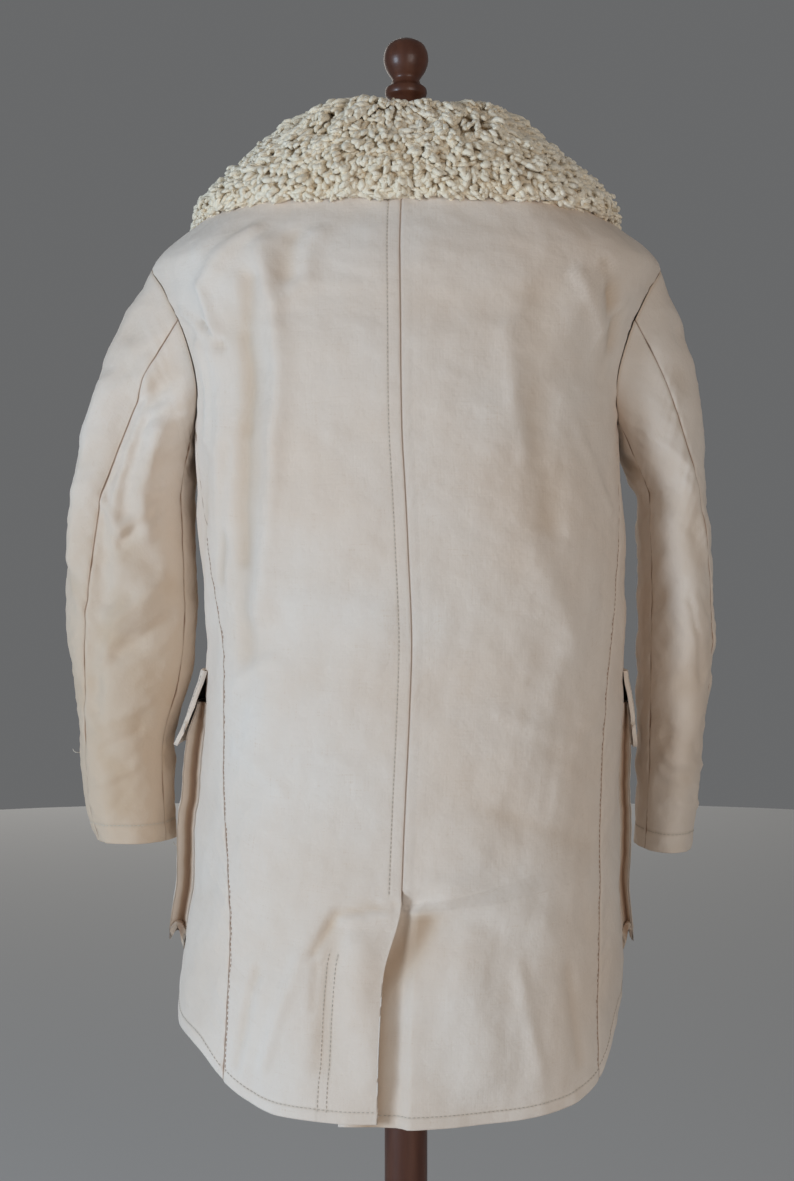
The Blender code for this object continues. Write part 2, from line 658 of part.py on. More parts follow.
def build_sleeve(side, label, table):
    turns, corners, inward, elbow = sleeve_columns(side)
    outer, normals = sleeve_surface(side, label, table, turns, corners, inward)
    inner = outer - normals * CLOTH
    inner[0] = outer[0] + cuff_way(normals[0], inward) * CLOTH
    wrapped = np.concatenate([outer[:, -2:-1], outer, outer[:, 1:2]], axis=1)
    gap = unit(np.gradient(wrapped, axis=1)[:, 1:-1]) * SEAM_GAP / 2
    pieces = (("under_sleeve", slice(0, elbow + 1)), ("top_sleeve", slice(elbow, len(turns))))
    for name, part in pieces:
        pull = np.zeros((1, part.stop - part.start, 1))
        pull[:, 0], pull[:, -1] = 1.0, -1.0
        shift = gap[:, part] * pull
        make_wall(f"{name}_{label}", outer[:, part] + shift, inner[:, part] + shift, "canvas")


def cuff_way(normals, inward):
    """The wall's way in at the armhole, never back towards the panel."""
    way = -normals
    back = np.minimum((way * inward).sum(-1, keepdims=True), 0.0)
    return unit(way - back * inward)


def neckline_height(angle):
    line_angles, line_heights = zip(*NECKLINE)
    across = read_smoothly(line_angles, line_heights, np.maximum(np.abs(angle), SEAM_ANGLE))
    back = BACK_NECK_HEIGHT + (NECK_POINT_HEIGHT - BACK_NECK_HEIGHT) * ease(np.abs(angle) / SEAM_ANGLE)
    return np.where(np.abs(angle) < SEAM_ANGLE, back, across)


def curve_through(points, steps):
    """Evenly parted points on a smooth curve through a few given ones."""
    points = np.asarray(points)
    lengths = np.linalg.norm(np.diff(points, axis=0), axis=1)
    at = np.concatenate([[0.0], np.cumsum(np.sqrt(lengths))])
    fine = np.linspace(0.0, at[-1], 80)
    dense = np.stack([read_smoothly(at, points[:, k], fine) for k in range(3)], -1)
    walked = np.concatenate([[0.0], np.cumsum(np.linalg.norm(np.diff(dense, axis=0), axis=1))])
    even = np.linspace(0.0, walked[-1], steps)
    return np.stack([np.interp(even, walked, dense[:, k]) for k in range(3)], -1)


def collar_section(angle):
    """Outer and inner points of the collar's section, from the neck seam over the roll to the outer edge."""
    angles = column(COLLAR_ROWS, "angle")

    def read(name):
        return float(read_smoothly(angles, column(COLLAR_ROWS, name), abs(angle)))

    turn = math.copysign(1.0, angle)
    height = float(neckline_height(angle))
    rest = PILE_HALF_THICKNESS + COLLAR_REST_GAP
    seam = torso(angle, height, 0.0027)
    outward = np.array([seam[0], seam[1], 0.0]) / math.hypot(seam[0], seam[1])
    roll = outward * read("roll_radius") + np.array([0.0, 0.0, read("roll_height")])
    edge_angle = turn * read("edge_angle")
    edge_height = read("edge_height")
    middle_angle = (angle + edge_angle) / 2
    middle_height = edge_height + 0.52 * (height - edge_height)
    middle = torso(middle_angle, middle_height, rest + read("crown"))
    edge = torso(edge_angle, edge_height, rest)
    path = curve_through([seam, roll, middle, edge], COLLAR_SECTION_STEPS)
    along = unit(np.gradient(path, axis=0))
    aside = unit(np.cross(np.array([0.0, 0.0, 1.0]), outward)) * np.ones_like(path)
    way_out = unit(np.cross(along, aside))
    share = np.linspace(0.0, 1.0, COLLAR_SECTION_STEPS)
    shares, sizes = zip(*COLLAR_HEM_THICKNESS)
    half = np.interp(share, shares, sizes)
    bend = -(np.gradient(along, axis=0) * way_out).sum(-1)
    step = np.linalg.norm(np.gradient(path, axis=0), axis=1)
    inner_half = np.minimum(half, 0.7 * step / np.maximum(bend, 1e-6))
    return path + way_out * half[:, None], path - way_out * inner_half[:, None]


def build_collar():
    last = COLLAR_ROWS[-1].angle
    side = last * np.linspace(0.0, 1.0, COLLAR_STATIONS_A_SIDE + 1) ** 0.92
    angles = np.concatenate([-side[:0:-1], [1e-6], side[1:]])
    sections = [collar_section(a) for a in angles]
    outer = np.array([section[0] for section in sections])
    inner = np.array([section[1] for section in sections])
    make_wall("collar", outer, inner, "pile")


def surface_of(name):
    """The faces of a built node, to seat other pieces on."""
    mesh = bpy.data.objects[name].data
    return BVHTree.FromPolygons([v.co for v in mesh.vertices], [p.vertices for p in mesh.polygons])


def seat(surface, angle, height, offset):
    """Points on a panel's flat faces, moved out by offset along the body's normal."""
    angle, height, offset = np.broadcast_arrays(angle, height, offset)
    points = torso(angle, height)
    normals = torso_normal(angle, height)
    seated = np.empty(points.shape)
    for at in np.ndindex(angle.shape):
        way = Vector(normals[at])
        hit = surface.ray_cast(Vector(points[at]) + way * 0.02, -way)[0]
        seated[at] = hit + way * float(offset[at])
    return seated


def ridge_angles(side, at_height, low, high):
    """Angles from low to high that include the front panel's ridges at a height, and a point between each two."""
    angle, height, _ = front_panel(side)
    ridges = [abs(np.interp(at_height, height[:, c], angle[:, c])) for c in range(angle.shape[1])]
    inside = sorted(r for r in ridges if low + 2.0 < r < high - 2.0)
    stations = np.array([low, *inside, high])
    between = (stations[1:] + stations[:-1]) / 2
    return side * np.sort(np.concatenate([stations, between]))


def build_pocket(side, label, surface):
    """A patch pocket that stands out on a gusset. It is open along the top, and the panel is its back."""
    face = ridge_angles(side, POCKET_BOTTOM, POCKET_BACK_ANGLE, POCKET_FRONT_ANGLE)
    wall = side * float(angle_for(POCKET_WALL, face[0], POCKET_BOTTOM))
    radius = side * float(angle_for(POCKET_CORNER / 3, face[0], POCKET_BOTTOM))
    outer_angle = np.array([face[0], face[0], face[0] + radius, *face[1:-1], face[-1] - radius, face[-1], face[-1]])
    inner_angle = outer_angle.copy()
    inner_angle[:2] += wall
    inner_angle[-2:] -= wall
    rise = np.array([0.0, 0.75, 1.0, *np.ones(len(face) - 2), 1.0, 0.75, 0.0])
    low, top = POCKET_BOTTOM, POCKET_TOP
    outer_height = np.array([low, low, low + POCKET_CORNER / 3, *np.linspace(low + 0.04, top - POCKET_RAMP, 6),
                             top - POCKET_RAMP * 0.5, top])
    inner_height = outer_height.copy()
    inner_height[:2] += POCKET_WALL
    rows = len(outer_height)
    climb = np.ones(rows)
    climb[:2] = (0.0, 0.75)
    depth = np.full(rows, POCKET_DEPTH[label])
    depth[-2:] = ((POCKET_DEPTH[label] + POCKET_MOUTH_DEPTH[label]) / 2, POCKET_MOUTH_DEPTH[label])
    share = np.minimum(climb[:, None], rise[None, :])
    offset = POCKET_RIM_GAP + share * depth[:, None]
    outer = seat(surface, outer_angle[None, :], outer_height[:, None], offset)
    inset = np.where(share > 0.8, POCKET_WALL, 0.0)
    inner = seat(surface, inner_angle[None, :], inner_height[:, None], offset - inset)
    make_wall(f"pocket_{label}", outer, inner, "canvas")


def build_flap(side, label, surface):
    """A flap that hangs over the pocket's mouth and stands away from it."""
    low, high = POCKET_BACK_ANGLE - FLAP_OVERHANG_ANGLE, POCKET_FRONT_ANGLE + FLAP_OVERHANG_ANGLE
    angles = ridge_angles(side, FLAP_ROOT, low, high)
    corner = float(angle_for(FLAP_CORNER, angles[0], FLAP_EDGE))
    ends = side * np.array([0.35, 0.75]) * corner
    angles = np.concatenate([angles[:1], angles[0] + ends, angles[1:-1], angles[-1] - ends[::-1], angles[-1:]])
    angles = side * np.sort(side * angles)
    near = np.minimum(np.abs(angles - angles[0]), np.abs(angles - angles[-1])) / corner
    lowest = FLAP_EDGE + FLAP_CORNER * (1.0 - np.sqrt(1.0 - np.clip(1.0 - near, 0.0, 1.0) ** 2))
    share = np.linspace(0.0, 1.0, 7)[:, None]
    height = FLAP_ROOT * (1 - share) + lowest[None, :] * share
    fallen = (FLAP_ROOT - height) / (FLAP_ROOT - FLAP_EDGE)
    lift = FLAP_ROOT_GAP + FLAP_LIFT[label] * (0.9 * fallen + 0.1 * fallen**2)
    rim = np.minimum(near[None, :] / 0.35, 1.0) * np.minimum((1.0 - share) / 0.12, 1.0)
    thickness = FLAP_THICKNESS * (0.55 + 0.45 * np.clip(rim, 0.0, 1.0))
    slack = (FLAP_THICKNESS - thickness) / 2
    outer = seat(surface, angles[None, :], height, lift + FLAP_THICKNESS - slack)
    inner = seat(surface, angles[None, :], height, lift + slack * np.minimum(fallen * 4.0, 1.0))
    make_wall(f"flap_{label}", outer, inner, "canvas")
    return outer


def turned_faces(rings, sides):
    """Faces of a turned piece whose first and last points lie on the axis."""
    faces = []
    for k in range(sides):
        following = (k + 1) % sides
        faces.append((0, 1 + k, 1 + following))
        for ring in range(rings - 1):
            low, high = 1 + ring * sides, 1 + (ring + 1) * sides
            faces.append((low + k, high + k, high + following, low + following))
        last = 1 + (rings - 1) * sides
        faces.append((last + k, 1 + rings * sides, last + following))
    return faces


def make_turned(name, profile, look, sides=TURNED_SIDES, centre=(0, 0, 0), axis=(0, 0, 1)):
    """A piece turned about an axis, from (radius, height) points that start and end on it."""
    axis = Vector(axis).normalized()
    turn = axis.to_track_quat("Z", "Y")
    points = [Vector((0, 0, profile[0][1]))]
    for radius, height in profile[1:-1]:
        for k in range(sides):
            angle = 2 * math.pi * k / sides
            points.append(Vector((radius * math.cos(angle), radius * math.sin(angle), height)))
    points.append(Vector((0, 0, profile[-1][1])))
    vertices = [turn @ point + Vector(centre) for point in points]
    return make_object(name, vertices, turned_faces(len(profile) - 2, sides), look)


def button_profile(radius):
    """A round button with a rolled rim and a sunk middle."""
    thick = BUTTON_THICKNESS
    return (
        (0.0, 0.0),
        (radius * 0.86, 0.0),
        (radius, thick * 0.45),
        (radius * 0.96, thick * 0.85),
        (radius * 0.84, thick),
        (radius * 0.68, thick * 0.62),
        (0.0, thick * 0.62),
    )


def build_button(name, radius, point, normal):
    place = np.asarray(point) + np.asarray(normal) * BUTTON_REST_GAP
    make_turned(name, button_profile(radius), "button", BUTTON_SIDES, place, normal)


def build_front_buttons(surface):
    for number, height in enumerate(FRONT_BUTTON_HEIGHTS, start=1):
        point = seat(surface, FRONT_BUTTON_ANGLE, height, 0.0)
        normal = torso_normal(FRONT_BUTTON_ANGLE, height)
        build_button(f"front_button_{number}", FRONT_BUTTON_RADIUS, point, normal)


def build_flap_button(side, label):
    """A button on the flap's outer face, square to it."""
    flap = surface_of(f"flap_{label}")
    point = torso(side * FLAP_BUTTON_ANGLE, FLAP_BUTTON_HEIGHT)
    way = Vector(torso_normal(side * FLAP_BUTTON_ANGLE, FLAP_BUTTON_HEIGHT))
    hit, normal, _, _ = flap.ray_cast(Vector(point) + way * 0.06, -way)
    build_button(f"flap_button_{label}", SMALL_BUTTON_RADIUS, hit, normal if normal.dot(way) > 0 else -normal)


def build_cuff_button():
    sleeve = surface_of("top_sleeve_right")
    centre = free_ring(-1, RIGHT_SLEEVE, CUFF_BUTTON_HEIGHT, np.array([150.0]))[0]
    way = Vector((-0.92, 0.39, 0.0)).normalized()
    hit, normal, _, _ = sleeve.ray_cast(Vector(centre) + way * 0.05, -way)
    build_button("cuff_button_right", SMALL_BUTTON_RADIUS, hit, normal if normal.dot(way) > 0 else -normal)


def form_ring(height, surfaces):
    """One ring of the dress form, inside the coat and just clear of its wall."""
    heights = column(FORM_INSETS, "height")
    inset = float(read_smoothly(heights, column(FORM_INSETS, "inset"), height))
    side_inset = float(read_smoothly(heights, column(FORM_INSETS, "side_inset"), height))
    angles = np.linspace(0.0, 360.0, FORM_COLUMNS, endpoint=False)
    points = smooth_torso(angles, height)
    sideways = np.abs(np.sin(np.radians(angles)))[:, None] ** 3
    reach = np.linalg.norm(points[:, :2], axis=1, keepdims=True)
    flat = points[:, :2] / reach
    reach = reach - CLOTH - inset - side_inset * sideways
    for at, way in enumerate(flat):
        centre = Vector((0.0, 0.0, height))
        ray = Vector((way[0], way[1], 0.0))
        hits = [surface.ray_cast(centre, ray)[3] for surface in surfaces]
        nearest = min((hit for hit in hits if hit is not None), default=float(reach[at, 0]))
        front = FORM_FRONT_INSET if way[1] < 0 else 0.0
        reach[at] = min(float(reach[at, 0]), nearest - FORM_REST_GAP * 1.6 - front)
    return np.concatenate([flat * reach, np.full((len(flat), 1), height)], axis=1)


def build_form():
    surfaces = [surface_of(n) for n in ("back_left", "back_right", "front_left", "front_right")]
    rings = [form_ring(height, surfaces) for height in FORM_HEIGHTS]
    level = np.array([1.0, 1.0, 0.0])
    shoulder = rings[-1] * level
    neck = unit(shoulder) * NECK_RADIUS
    for share, height in NECK_BLEND:
        rings.append(shoulder * (1 - share) + neck * share + np.array([0.0, 0.0, height]))
    low = rings[0] * np.array([0.94, 0.94, 0.0]) + np.array([0.0, 0.0, FORM_BOTTOM - 0.008])
    rings.insert(0, low)
    vertices = [np.array([0.0, 0.0, FORM_BOTTOM - 0.008])]
    vertices += [point for ring in rings for point in ring]
    vertices.append(np.array([0.0, 0.0, FORM_NECK_TOP]))
    make_object("form_torso", vertices, turned_faces(len(rings), FORM_COLUMNS), "form_cover")


def build_stand():
    make_turned("neck_cap", CAP_PROFILE, "wood")
    make_turned("finial", FINIAL_PROFILE, "wood", sides=28)
    top = FORM_BOTTOM - 0.008 - 0.0004
    low = BASE_BOSS_TOP + 0.0004
    stem = ((0.0, low), (STEM_RADIUS, low), (STEM_RADIUS, (low + top) / 2), (STEM_RADIUS, top), (0.0, top))
    make_turned("stem", stem, "wood")
    make_turned("base", BASE_PROFILE, "wood", sides=36)


def start_scene():
    for obj in list(bpy.data.objects):
        bpy.data.objects.remove(obj)
    for name, look in LOOKS.items():
        material = bpy.data.materials.new(name)
        material.use_nodes = True
        shader = material.node_tree.nodes["Principled BSDF"]
        shader.inputs["Base Color"].default_value = (*look.colour, 1.0)
        shader.inputs["Roughness"].default_value = look.roughness
        shader.inputs["Metallic"].default_value = look.metallic


def main():
    start_scene()
    build_body()
    build_sleeve(1, "left", LEFT_SLEEVE)
    build_sleeve(-1, "right", RIGHT_SLEEVE)
    build_collar()
    for side, label in ((1, "left"), (-1, "right")):
        surface = surface_of(f"front_{label}")
        build_pocket(side, label, surface)
        build_flap(side, label, surface)
        build_flap_button(side, label)
    build_front_buttons(surface_of("front_left"))
    build_cuff_button()
    build_form()
    build_stand()


main()
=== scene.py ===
"""Dresses the long winter coat, its curly pile collar and the dress form that wears it.

The panels are made again as dense cloth from the same named sizes as the part's solids.
Metres, +Z up. The coat's front faces -Y, so its back faces the camera, and the wearer's left is +X.
Angles on the body run from the centre back, positive to the wearer's left.
"""

from __future__ import annotations

import json
import logging
import math
from dataclasses import dataclass, field
from enum import Enum
from typing import NamedTuple, Sequence

import bpy
import numpy as np
from mathutils import Matrix, Vector
from mathutils.bvhtree import BVHTree

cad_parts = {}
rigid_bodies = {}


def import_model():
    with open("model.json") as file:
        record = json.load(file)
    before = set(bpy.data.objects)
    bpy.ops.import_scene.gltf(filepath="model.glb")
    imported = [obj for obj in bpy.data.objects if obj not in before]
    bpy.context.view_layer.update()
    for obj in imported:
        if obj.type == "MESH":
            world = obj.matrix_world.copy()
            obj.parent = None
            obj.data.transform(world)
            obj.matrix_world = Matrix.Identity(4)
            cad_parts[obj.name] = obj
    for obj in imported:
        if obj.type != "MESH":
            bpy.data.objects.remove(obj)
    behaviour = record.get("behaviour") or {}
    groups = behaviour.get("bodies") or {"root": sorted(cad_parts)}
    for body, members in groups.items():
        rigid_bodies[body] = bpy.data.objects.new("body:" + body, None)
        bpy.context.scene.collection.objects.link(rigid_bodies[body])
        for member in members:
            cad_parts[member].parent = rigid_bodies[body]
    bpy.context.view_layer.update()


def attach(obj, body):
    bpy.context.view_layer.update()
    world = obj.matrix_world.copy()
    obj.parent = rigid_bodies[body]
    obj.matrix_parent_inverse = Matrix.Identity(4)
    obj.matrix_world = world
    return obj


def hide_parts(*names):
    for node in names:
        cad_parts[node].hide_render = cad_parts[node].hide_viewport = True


log = logging.getLogger("coat")

Array = np.ndarray
Pair = tuple[float, float]
Triple = tuple[float, float, float]
Colour = Triple
Material, Object = bpy.types.Material, bpy.types.Object
Node, Socket, Tree = bpy.types.Node, bpy.types.NodeSocket, bpy.types.NodeTree
ROOT = "root"
CLOTH = 0.0025
SEAM_GAP = 0.0001
EDGE_STEPS = (0.0, 0.0012, 0.0026, 0.0042, 0.006, 0.008, 0.0102, 0.0128, 0.016)


class Side(Enum):
    """A side of the wearer, with the way it lies along X."""

    LEFT = 1
    RIGHT = -1

    @property
    def label(self) -> str:
        """The side's name in lower case, as the nodes use it."""
        return self.name.lower()


class Edge(Enum):
    """An edge of a cloth patch, named by the row or column that it is."""

    FIRST_COLUMN = "first column"
    LAST_COLUMN = "last column"
    FIRST_ROW = "first row"
    LAST_ROW = "last row"


class TorsoRing(NamedTuple):
    """Half sizes of the coat's body at one height."""

    height: float
    centre_x: float
    half_width: float
    back_depth: float
    front_depth: float


class HemPoint(NamedTuple):
    """The hem's height at an angle, on each side."""

    angle: float
    left_height: float
    right_height: float


class SeamPoint(NamedTuple):
    """Where the seam between back and front lies at a height."""

    height: float
    left_angle: float
    right_angle: float


class BodyRow(NamedTuple):
    """A row of the panels from the hem to the armhole."""

    back_height: float
    side_share: float
    front_height: float


class Fold(NamedTuple):
    """A soft ridge, or a trough where rise is negative, between two points of the cloth."""

    from_angle: float
    from_height: float
    to_angle: float
    to_height: float
    half_width: float
    rise: float


class SleeveRing(NamedTuple):
    """A ring of the hanging sleeve."""

    height: float
    centre_x: float
    centre_y: float
    half_width: float
    half_depth: float


class CollarRow(NamedTuple):
    """The collar's section at one angle of the body."""

    angle: float
    roll_radius: float
    roll_height: float
    edge_angle: float
    edge_height: float
    crown: float


def table(kind: type, *rows: tuple) -> tuple:
    """A table whose rows are all of one kind."""
    return tuple(kind(*row) for row in rows)


def column(rows: Sequence[NamedTuple], name: str) -> list[float]:
    """One named column of a table."""
    return [getattr(row, name) for row in rows]


def read_smoothly(stations: Sequence[float], values: Sequence[float], at: Array | float) -> Array:
    """Reads a smooth curve through a few stations.

    Args:
        stations: Rising places along the curve.
        values: The curve's value at each station.
        at: Where to read it.

    Returns:
        The value at each place asked for, held level past either end.
    """
    places, heights = np.asarray(stations, float), np.asarray(values, float)
    slopes = np.gradient(heights, places)
    at = np.clip(at, places[0], places[-1])
    index = np.clip(np.searchsorted(places, at, side="right") - 1, 0, len(places) - 2)
    span = places[index + 1] - places[index]
    share = (at - places[index]) / span
    square, cube = share**2, share**3
    return (
        heights[index] * (2 * cube - 3 * square + 1)
        + slopes[index] * span * (cube - 2 * square + share)
        + heights[index + 1] * (3 * square - 2 * cube)
        + slopes[index + 1] * span * (cube - square)
    )


def read_column(rows: Sequence[NamedTuple], stations: str, values: str, at: Array | float) -> Array:
    """Reads a smooth curve through one column of a table, at places given in another one."""
    return read_smoothly(column(rows, stations), column(rows, values), at)


def ease(share: Array | float) -> Array:
    """A smooth step from 0 to 1."""
    share = np.clip(share, 0.0, 1.0)
    return share * share * (3.0 - 2.0 * share)


def bump(distance: Array | float, half_width: float) -> Array:
    """A soft bell of height 1 round distance 0."""
    return np.exp(-((np.asarray(distance) / half_width) ** 2))


def unit(vectors: Array) -> Array:
    """The vectors at length 1."""
    return vectors / np.maximum(np.linalg.norm(vectors, axis=-1, keepdims=True), 1e-12)


def running(steps: Array | list[float]) -> Array:
    """Running sums that start at 0."""
    return np.concatenate([[0.0], np.cumsum(steps)])


def walk(line: Array) -> Array:
    """How far along a line each of its points lies."""
    return running(np.linalg.norm(np.diff(line, axis=0), axis=-1))


def on_line(at: Array | float, walked: Array, line: Array) -> Array:
    """Points of a line at distances along it."""
    return np.stack([np.interp(at, walked, line[:, k]) for k in range(3)], -1)


def signed_power(value: Array, power: float) -> Array:
    """A power that keeps the sign."""
    return np.sign(value) * np.abs(value) ** power


def fold_rise(folds: Sequence[Fold], angle: Array, height: Array, metres: float) -> Array:
    """How far folds move the cloth out. Where folds of one kind meet, the higher one leads.

    Args:
        folds: The folds, with angles in degrees.
        angle: The angle of each point.
        height: The height of each point.
        metres: Metres of cloth in one degree.

    Returns:
        The move along the normal, in metres.
    """
    sharp = 4
    ridges, troughs = np.zeros((2, *np.broadcast(angle, height).shape))
    for fold in folds:
        start = np.array([fold.from_angle * metres, fold.from_height])
        run = np.array([fold.to_angle * metres, fold.to_height]) - start
        sideways, upward = angle * metres - start[0], height - start[1]
        share = np.clip((sideways * run[0] + upward * run[1]) / (run @ run), 0.0, 1.0)
        distance = np.hypot(sideways - share * run[0], upward - share * run[1])
        kind = ridges if fold.rise > 0 else troughs
        kind += (fold.rise * bump(distance, fold.half_width)) ** sharp
    return ridges ** (1 / sharp) - troughs ** (1 / sharp)


@dataclass(frozen=True)
class Crumple:
    """A soft random relief made of plane waves, the same at each run."""

    seed: int
    wavelength: float
    height: float
    waves: int = 22
    stretch: float = 1.0

    def at(self, across: Array, along: Array) -> Array:
        """The relief at points of the cloth, given in metres across and along it."""
        draw = np.random.default_rng(self.seed)
        total = np.zeros(np.broadcast(across, along).shape)
        for _ in range(self.waves):
            turn, phase = draw.uniform(0, math.pi), draw.uniform(0, 2 * math.pi)
            pitch = 2 * math.pi / (self.wavelength * draw.uniform(0.6, 1.7))
            way = pitch * (np.cos(turn) * across + np.sin(turn) * along / self.stretch)
            total = total + np.cos(way + phase)
        return total * self.height / math.sqrt(self.waves / 2)


@dataclass(frozen=True)
class Torso:
    """The coat's body as a smooth surface of angle and height, with the folds of its cloth."""

    roundness: float = 2.4
    metres_per_degree: float = 0.0036
    hem_waves: int = 7
    hem_wave_height: float = 0.003
    hem_wave_top: float = 0.7
    rings: tuple[TorsoRing, ...] = table(
        TorsoRing,
        (0.52, 0.008, 0.236, 0.198, 0.18), (0.635, 0.006, 0.231, 0.191, 0.174),
        (0.724, 0.001, 0.224, 0.184, 0.167), (0.829, -0.003, 0.219, 0.176, 0.16),
        (0.935, -0.008, 0.217, 0.17, 0.155), (0.998, -0.01, 0.217, 0.168, 0.152),
        (1.082, -0.007, 0.2205, 0.17, 0.152), (1.145, -0.004, 0.221, 0.172, 0.153),
        (1.198, -0.001, 0.22, 0.173, 0.152), (1.251, 0.0, 0.222, 0.172, 0.148),
        (1.303, 0.0, 0.238, 0.167, 0.139), (1.356, 0.0, 0.257, 0.158, 0.124),
        (1.385, 0.0, 0.2635, 0.15, 0.112), (1.405, 0.0, 0.245, 0.143, 0.104),
        (1.424, 0.0, 0.219, 0.134, 0.095), (1.449, 0.0, 0.175, 0.118, 0.083),
        (1.473, 0.0, 0.128, 0.099, 0.071), (1.5, 0.0, 0.079, 0.077, 0.058),
    )
    folds: tuple[Fold, ...] = table(
        Fold,
        (32, 1.35, 38, 1.294, 0.01, -0.006), (38, 1.294, 42, 1.205, 0.012, -0.0085),
        (42, 1.205, 46, 1.08, 0.013, -0.0075), (46, 1.08, 47, 0.99, 0.014, -0.004),
        (39, 1.3, 44, 1.06, 0.026, -0.0038), (28, 1.383, 27.5, 1.3, 0.01, 0.0062),
        (27.5, 1.3, 33, 1.15, 0.012, 0.0068), (33, 1.15, 40, 1.03, 0.014, 0.0055),
        (52, 1.28, 55, 1.12, 0.016, 0.006), (56, 1.29, 60, 1.12, 0.014, 0.0045),
        (-50, 1.345, -58, 1.295, 0.011, -0.0065), (-28, 1.33, -33, 1.12, 0.022, -0.004),
        (-40, 1.0, -28, 1.08, 0.018, 0.0035), (-30, 0.74, -8, 0.765, 0.016, 0.004),
        (14, 0.735, 14, 0.61, 0.01, -0.004), (8, 0.72, 4, 0.6, 0.012, 0.004),
        (-10, 0.72, -16, 0.6, 0.02, 0.004), (140, 1.3, 150, 1.12, 0.018, -0.005),
        (-140, 1.3, -150, 1.12, 0.018, -0.005), (158, 0.9, 164, 0.64, 0.02, 0.0045),
        (-158, 0.9, -164, 0.64, 0.02, 0.0045),
    )

    def ring(self, height: Array, name: str) -> Array:
        """One size of the body at each height."""
        return read_column(self.rings, "height", name, height)

    def smooth(self, angle: Array | float, height: Array | float) -> Array:
        """Points of the outer surface without folds."""
        angle, height = np.broadcast_arrays(np.asarray(angle, float), np.asarray(height, float))
        turn, power = np.radians(angle), 2.0 / self.roundness
        across, along = signed_power(np.sin(turn), power), signed_power(np.cos(turn), power)
        depth = np.where(along > 0, self.ring(height, "back_depth"), self.ring(height, "front_depth"))
        x = self.ring(height, "centre_x") + self.ring(height, "half_width") * across
        return np.stack([x, depth * along, height], axis=-1)

    def normal(self, angle: Array | float, height: Array | float) -> Array:
        """Outward normals of the smooth surface."""
        angle, height = np.broadcast_arrays(np.asarray(angle, float), np.asarray(height, float))
        around = self.smooth(angle + 1.5, height) - self.smooth(angle - 1.5, height)
        upward = self.smooth(angle, height + 0.003) - self.smooth(angle, height - 0.003)
        return unit(np.cross(upward, around))

    def rise(self, angle: Array, height: Array) -> Array:
        """The large folds, with a soft wave in the hem."""
        fade = ease((self.hem_wave_top - height) / 0.14)
        wave = np.sin(np.radians(angle) * self.hem_waves + 0.7) * fade
        folds = fold_rise(self.folds, angle, height, self.metres_per_degree)
        return folds + self.hem_wave_height * wave

    def surface(self, angle: Array | float, height: Array | float, offset: Array | float = 0.0) -> Array:
        """Points of the outer surface with its large folds, moved out by offset."""
        angle, height = np.broadcast_arrays(np.asarray(angle, float), np.asarray(height, float))
        move = self.rise(angle, height) + offset
        return self.smooth(angle, height) + self.normal(angle, height) * np.asarray(move)[..., None]

    def angle_for(self, distance: float, angle: Array, height: Array) -> Array:
        """The turn in degrees that moves a point this far round the body."""
        step = self.smooth(angle + 0.5, height) - self.smooth(angle - 0.5, height)
        return distance / np.linalg.norm(step, axis=-1)


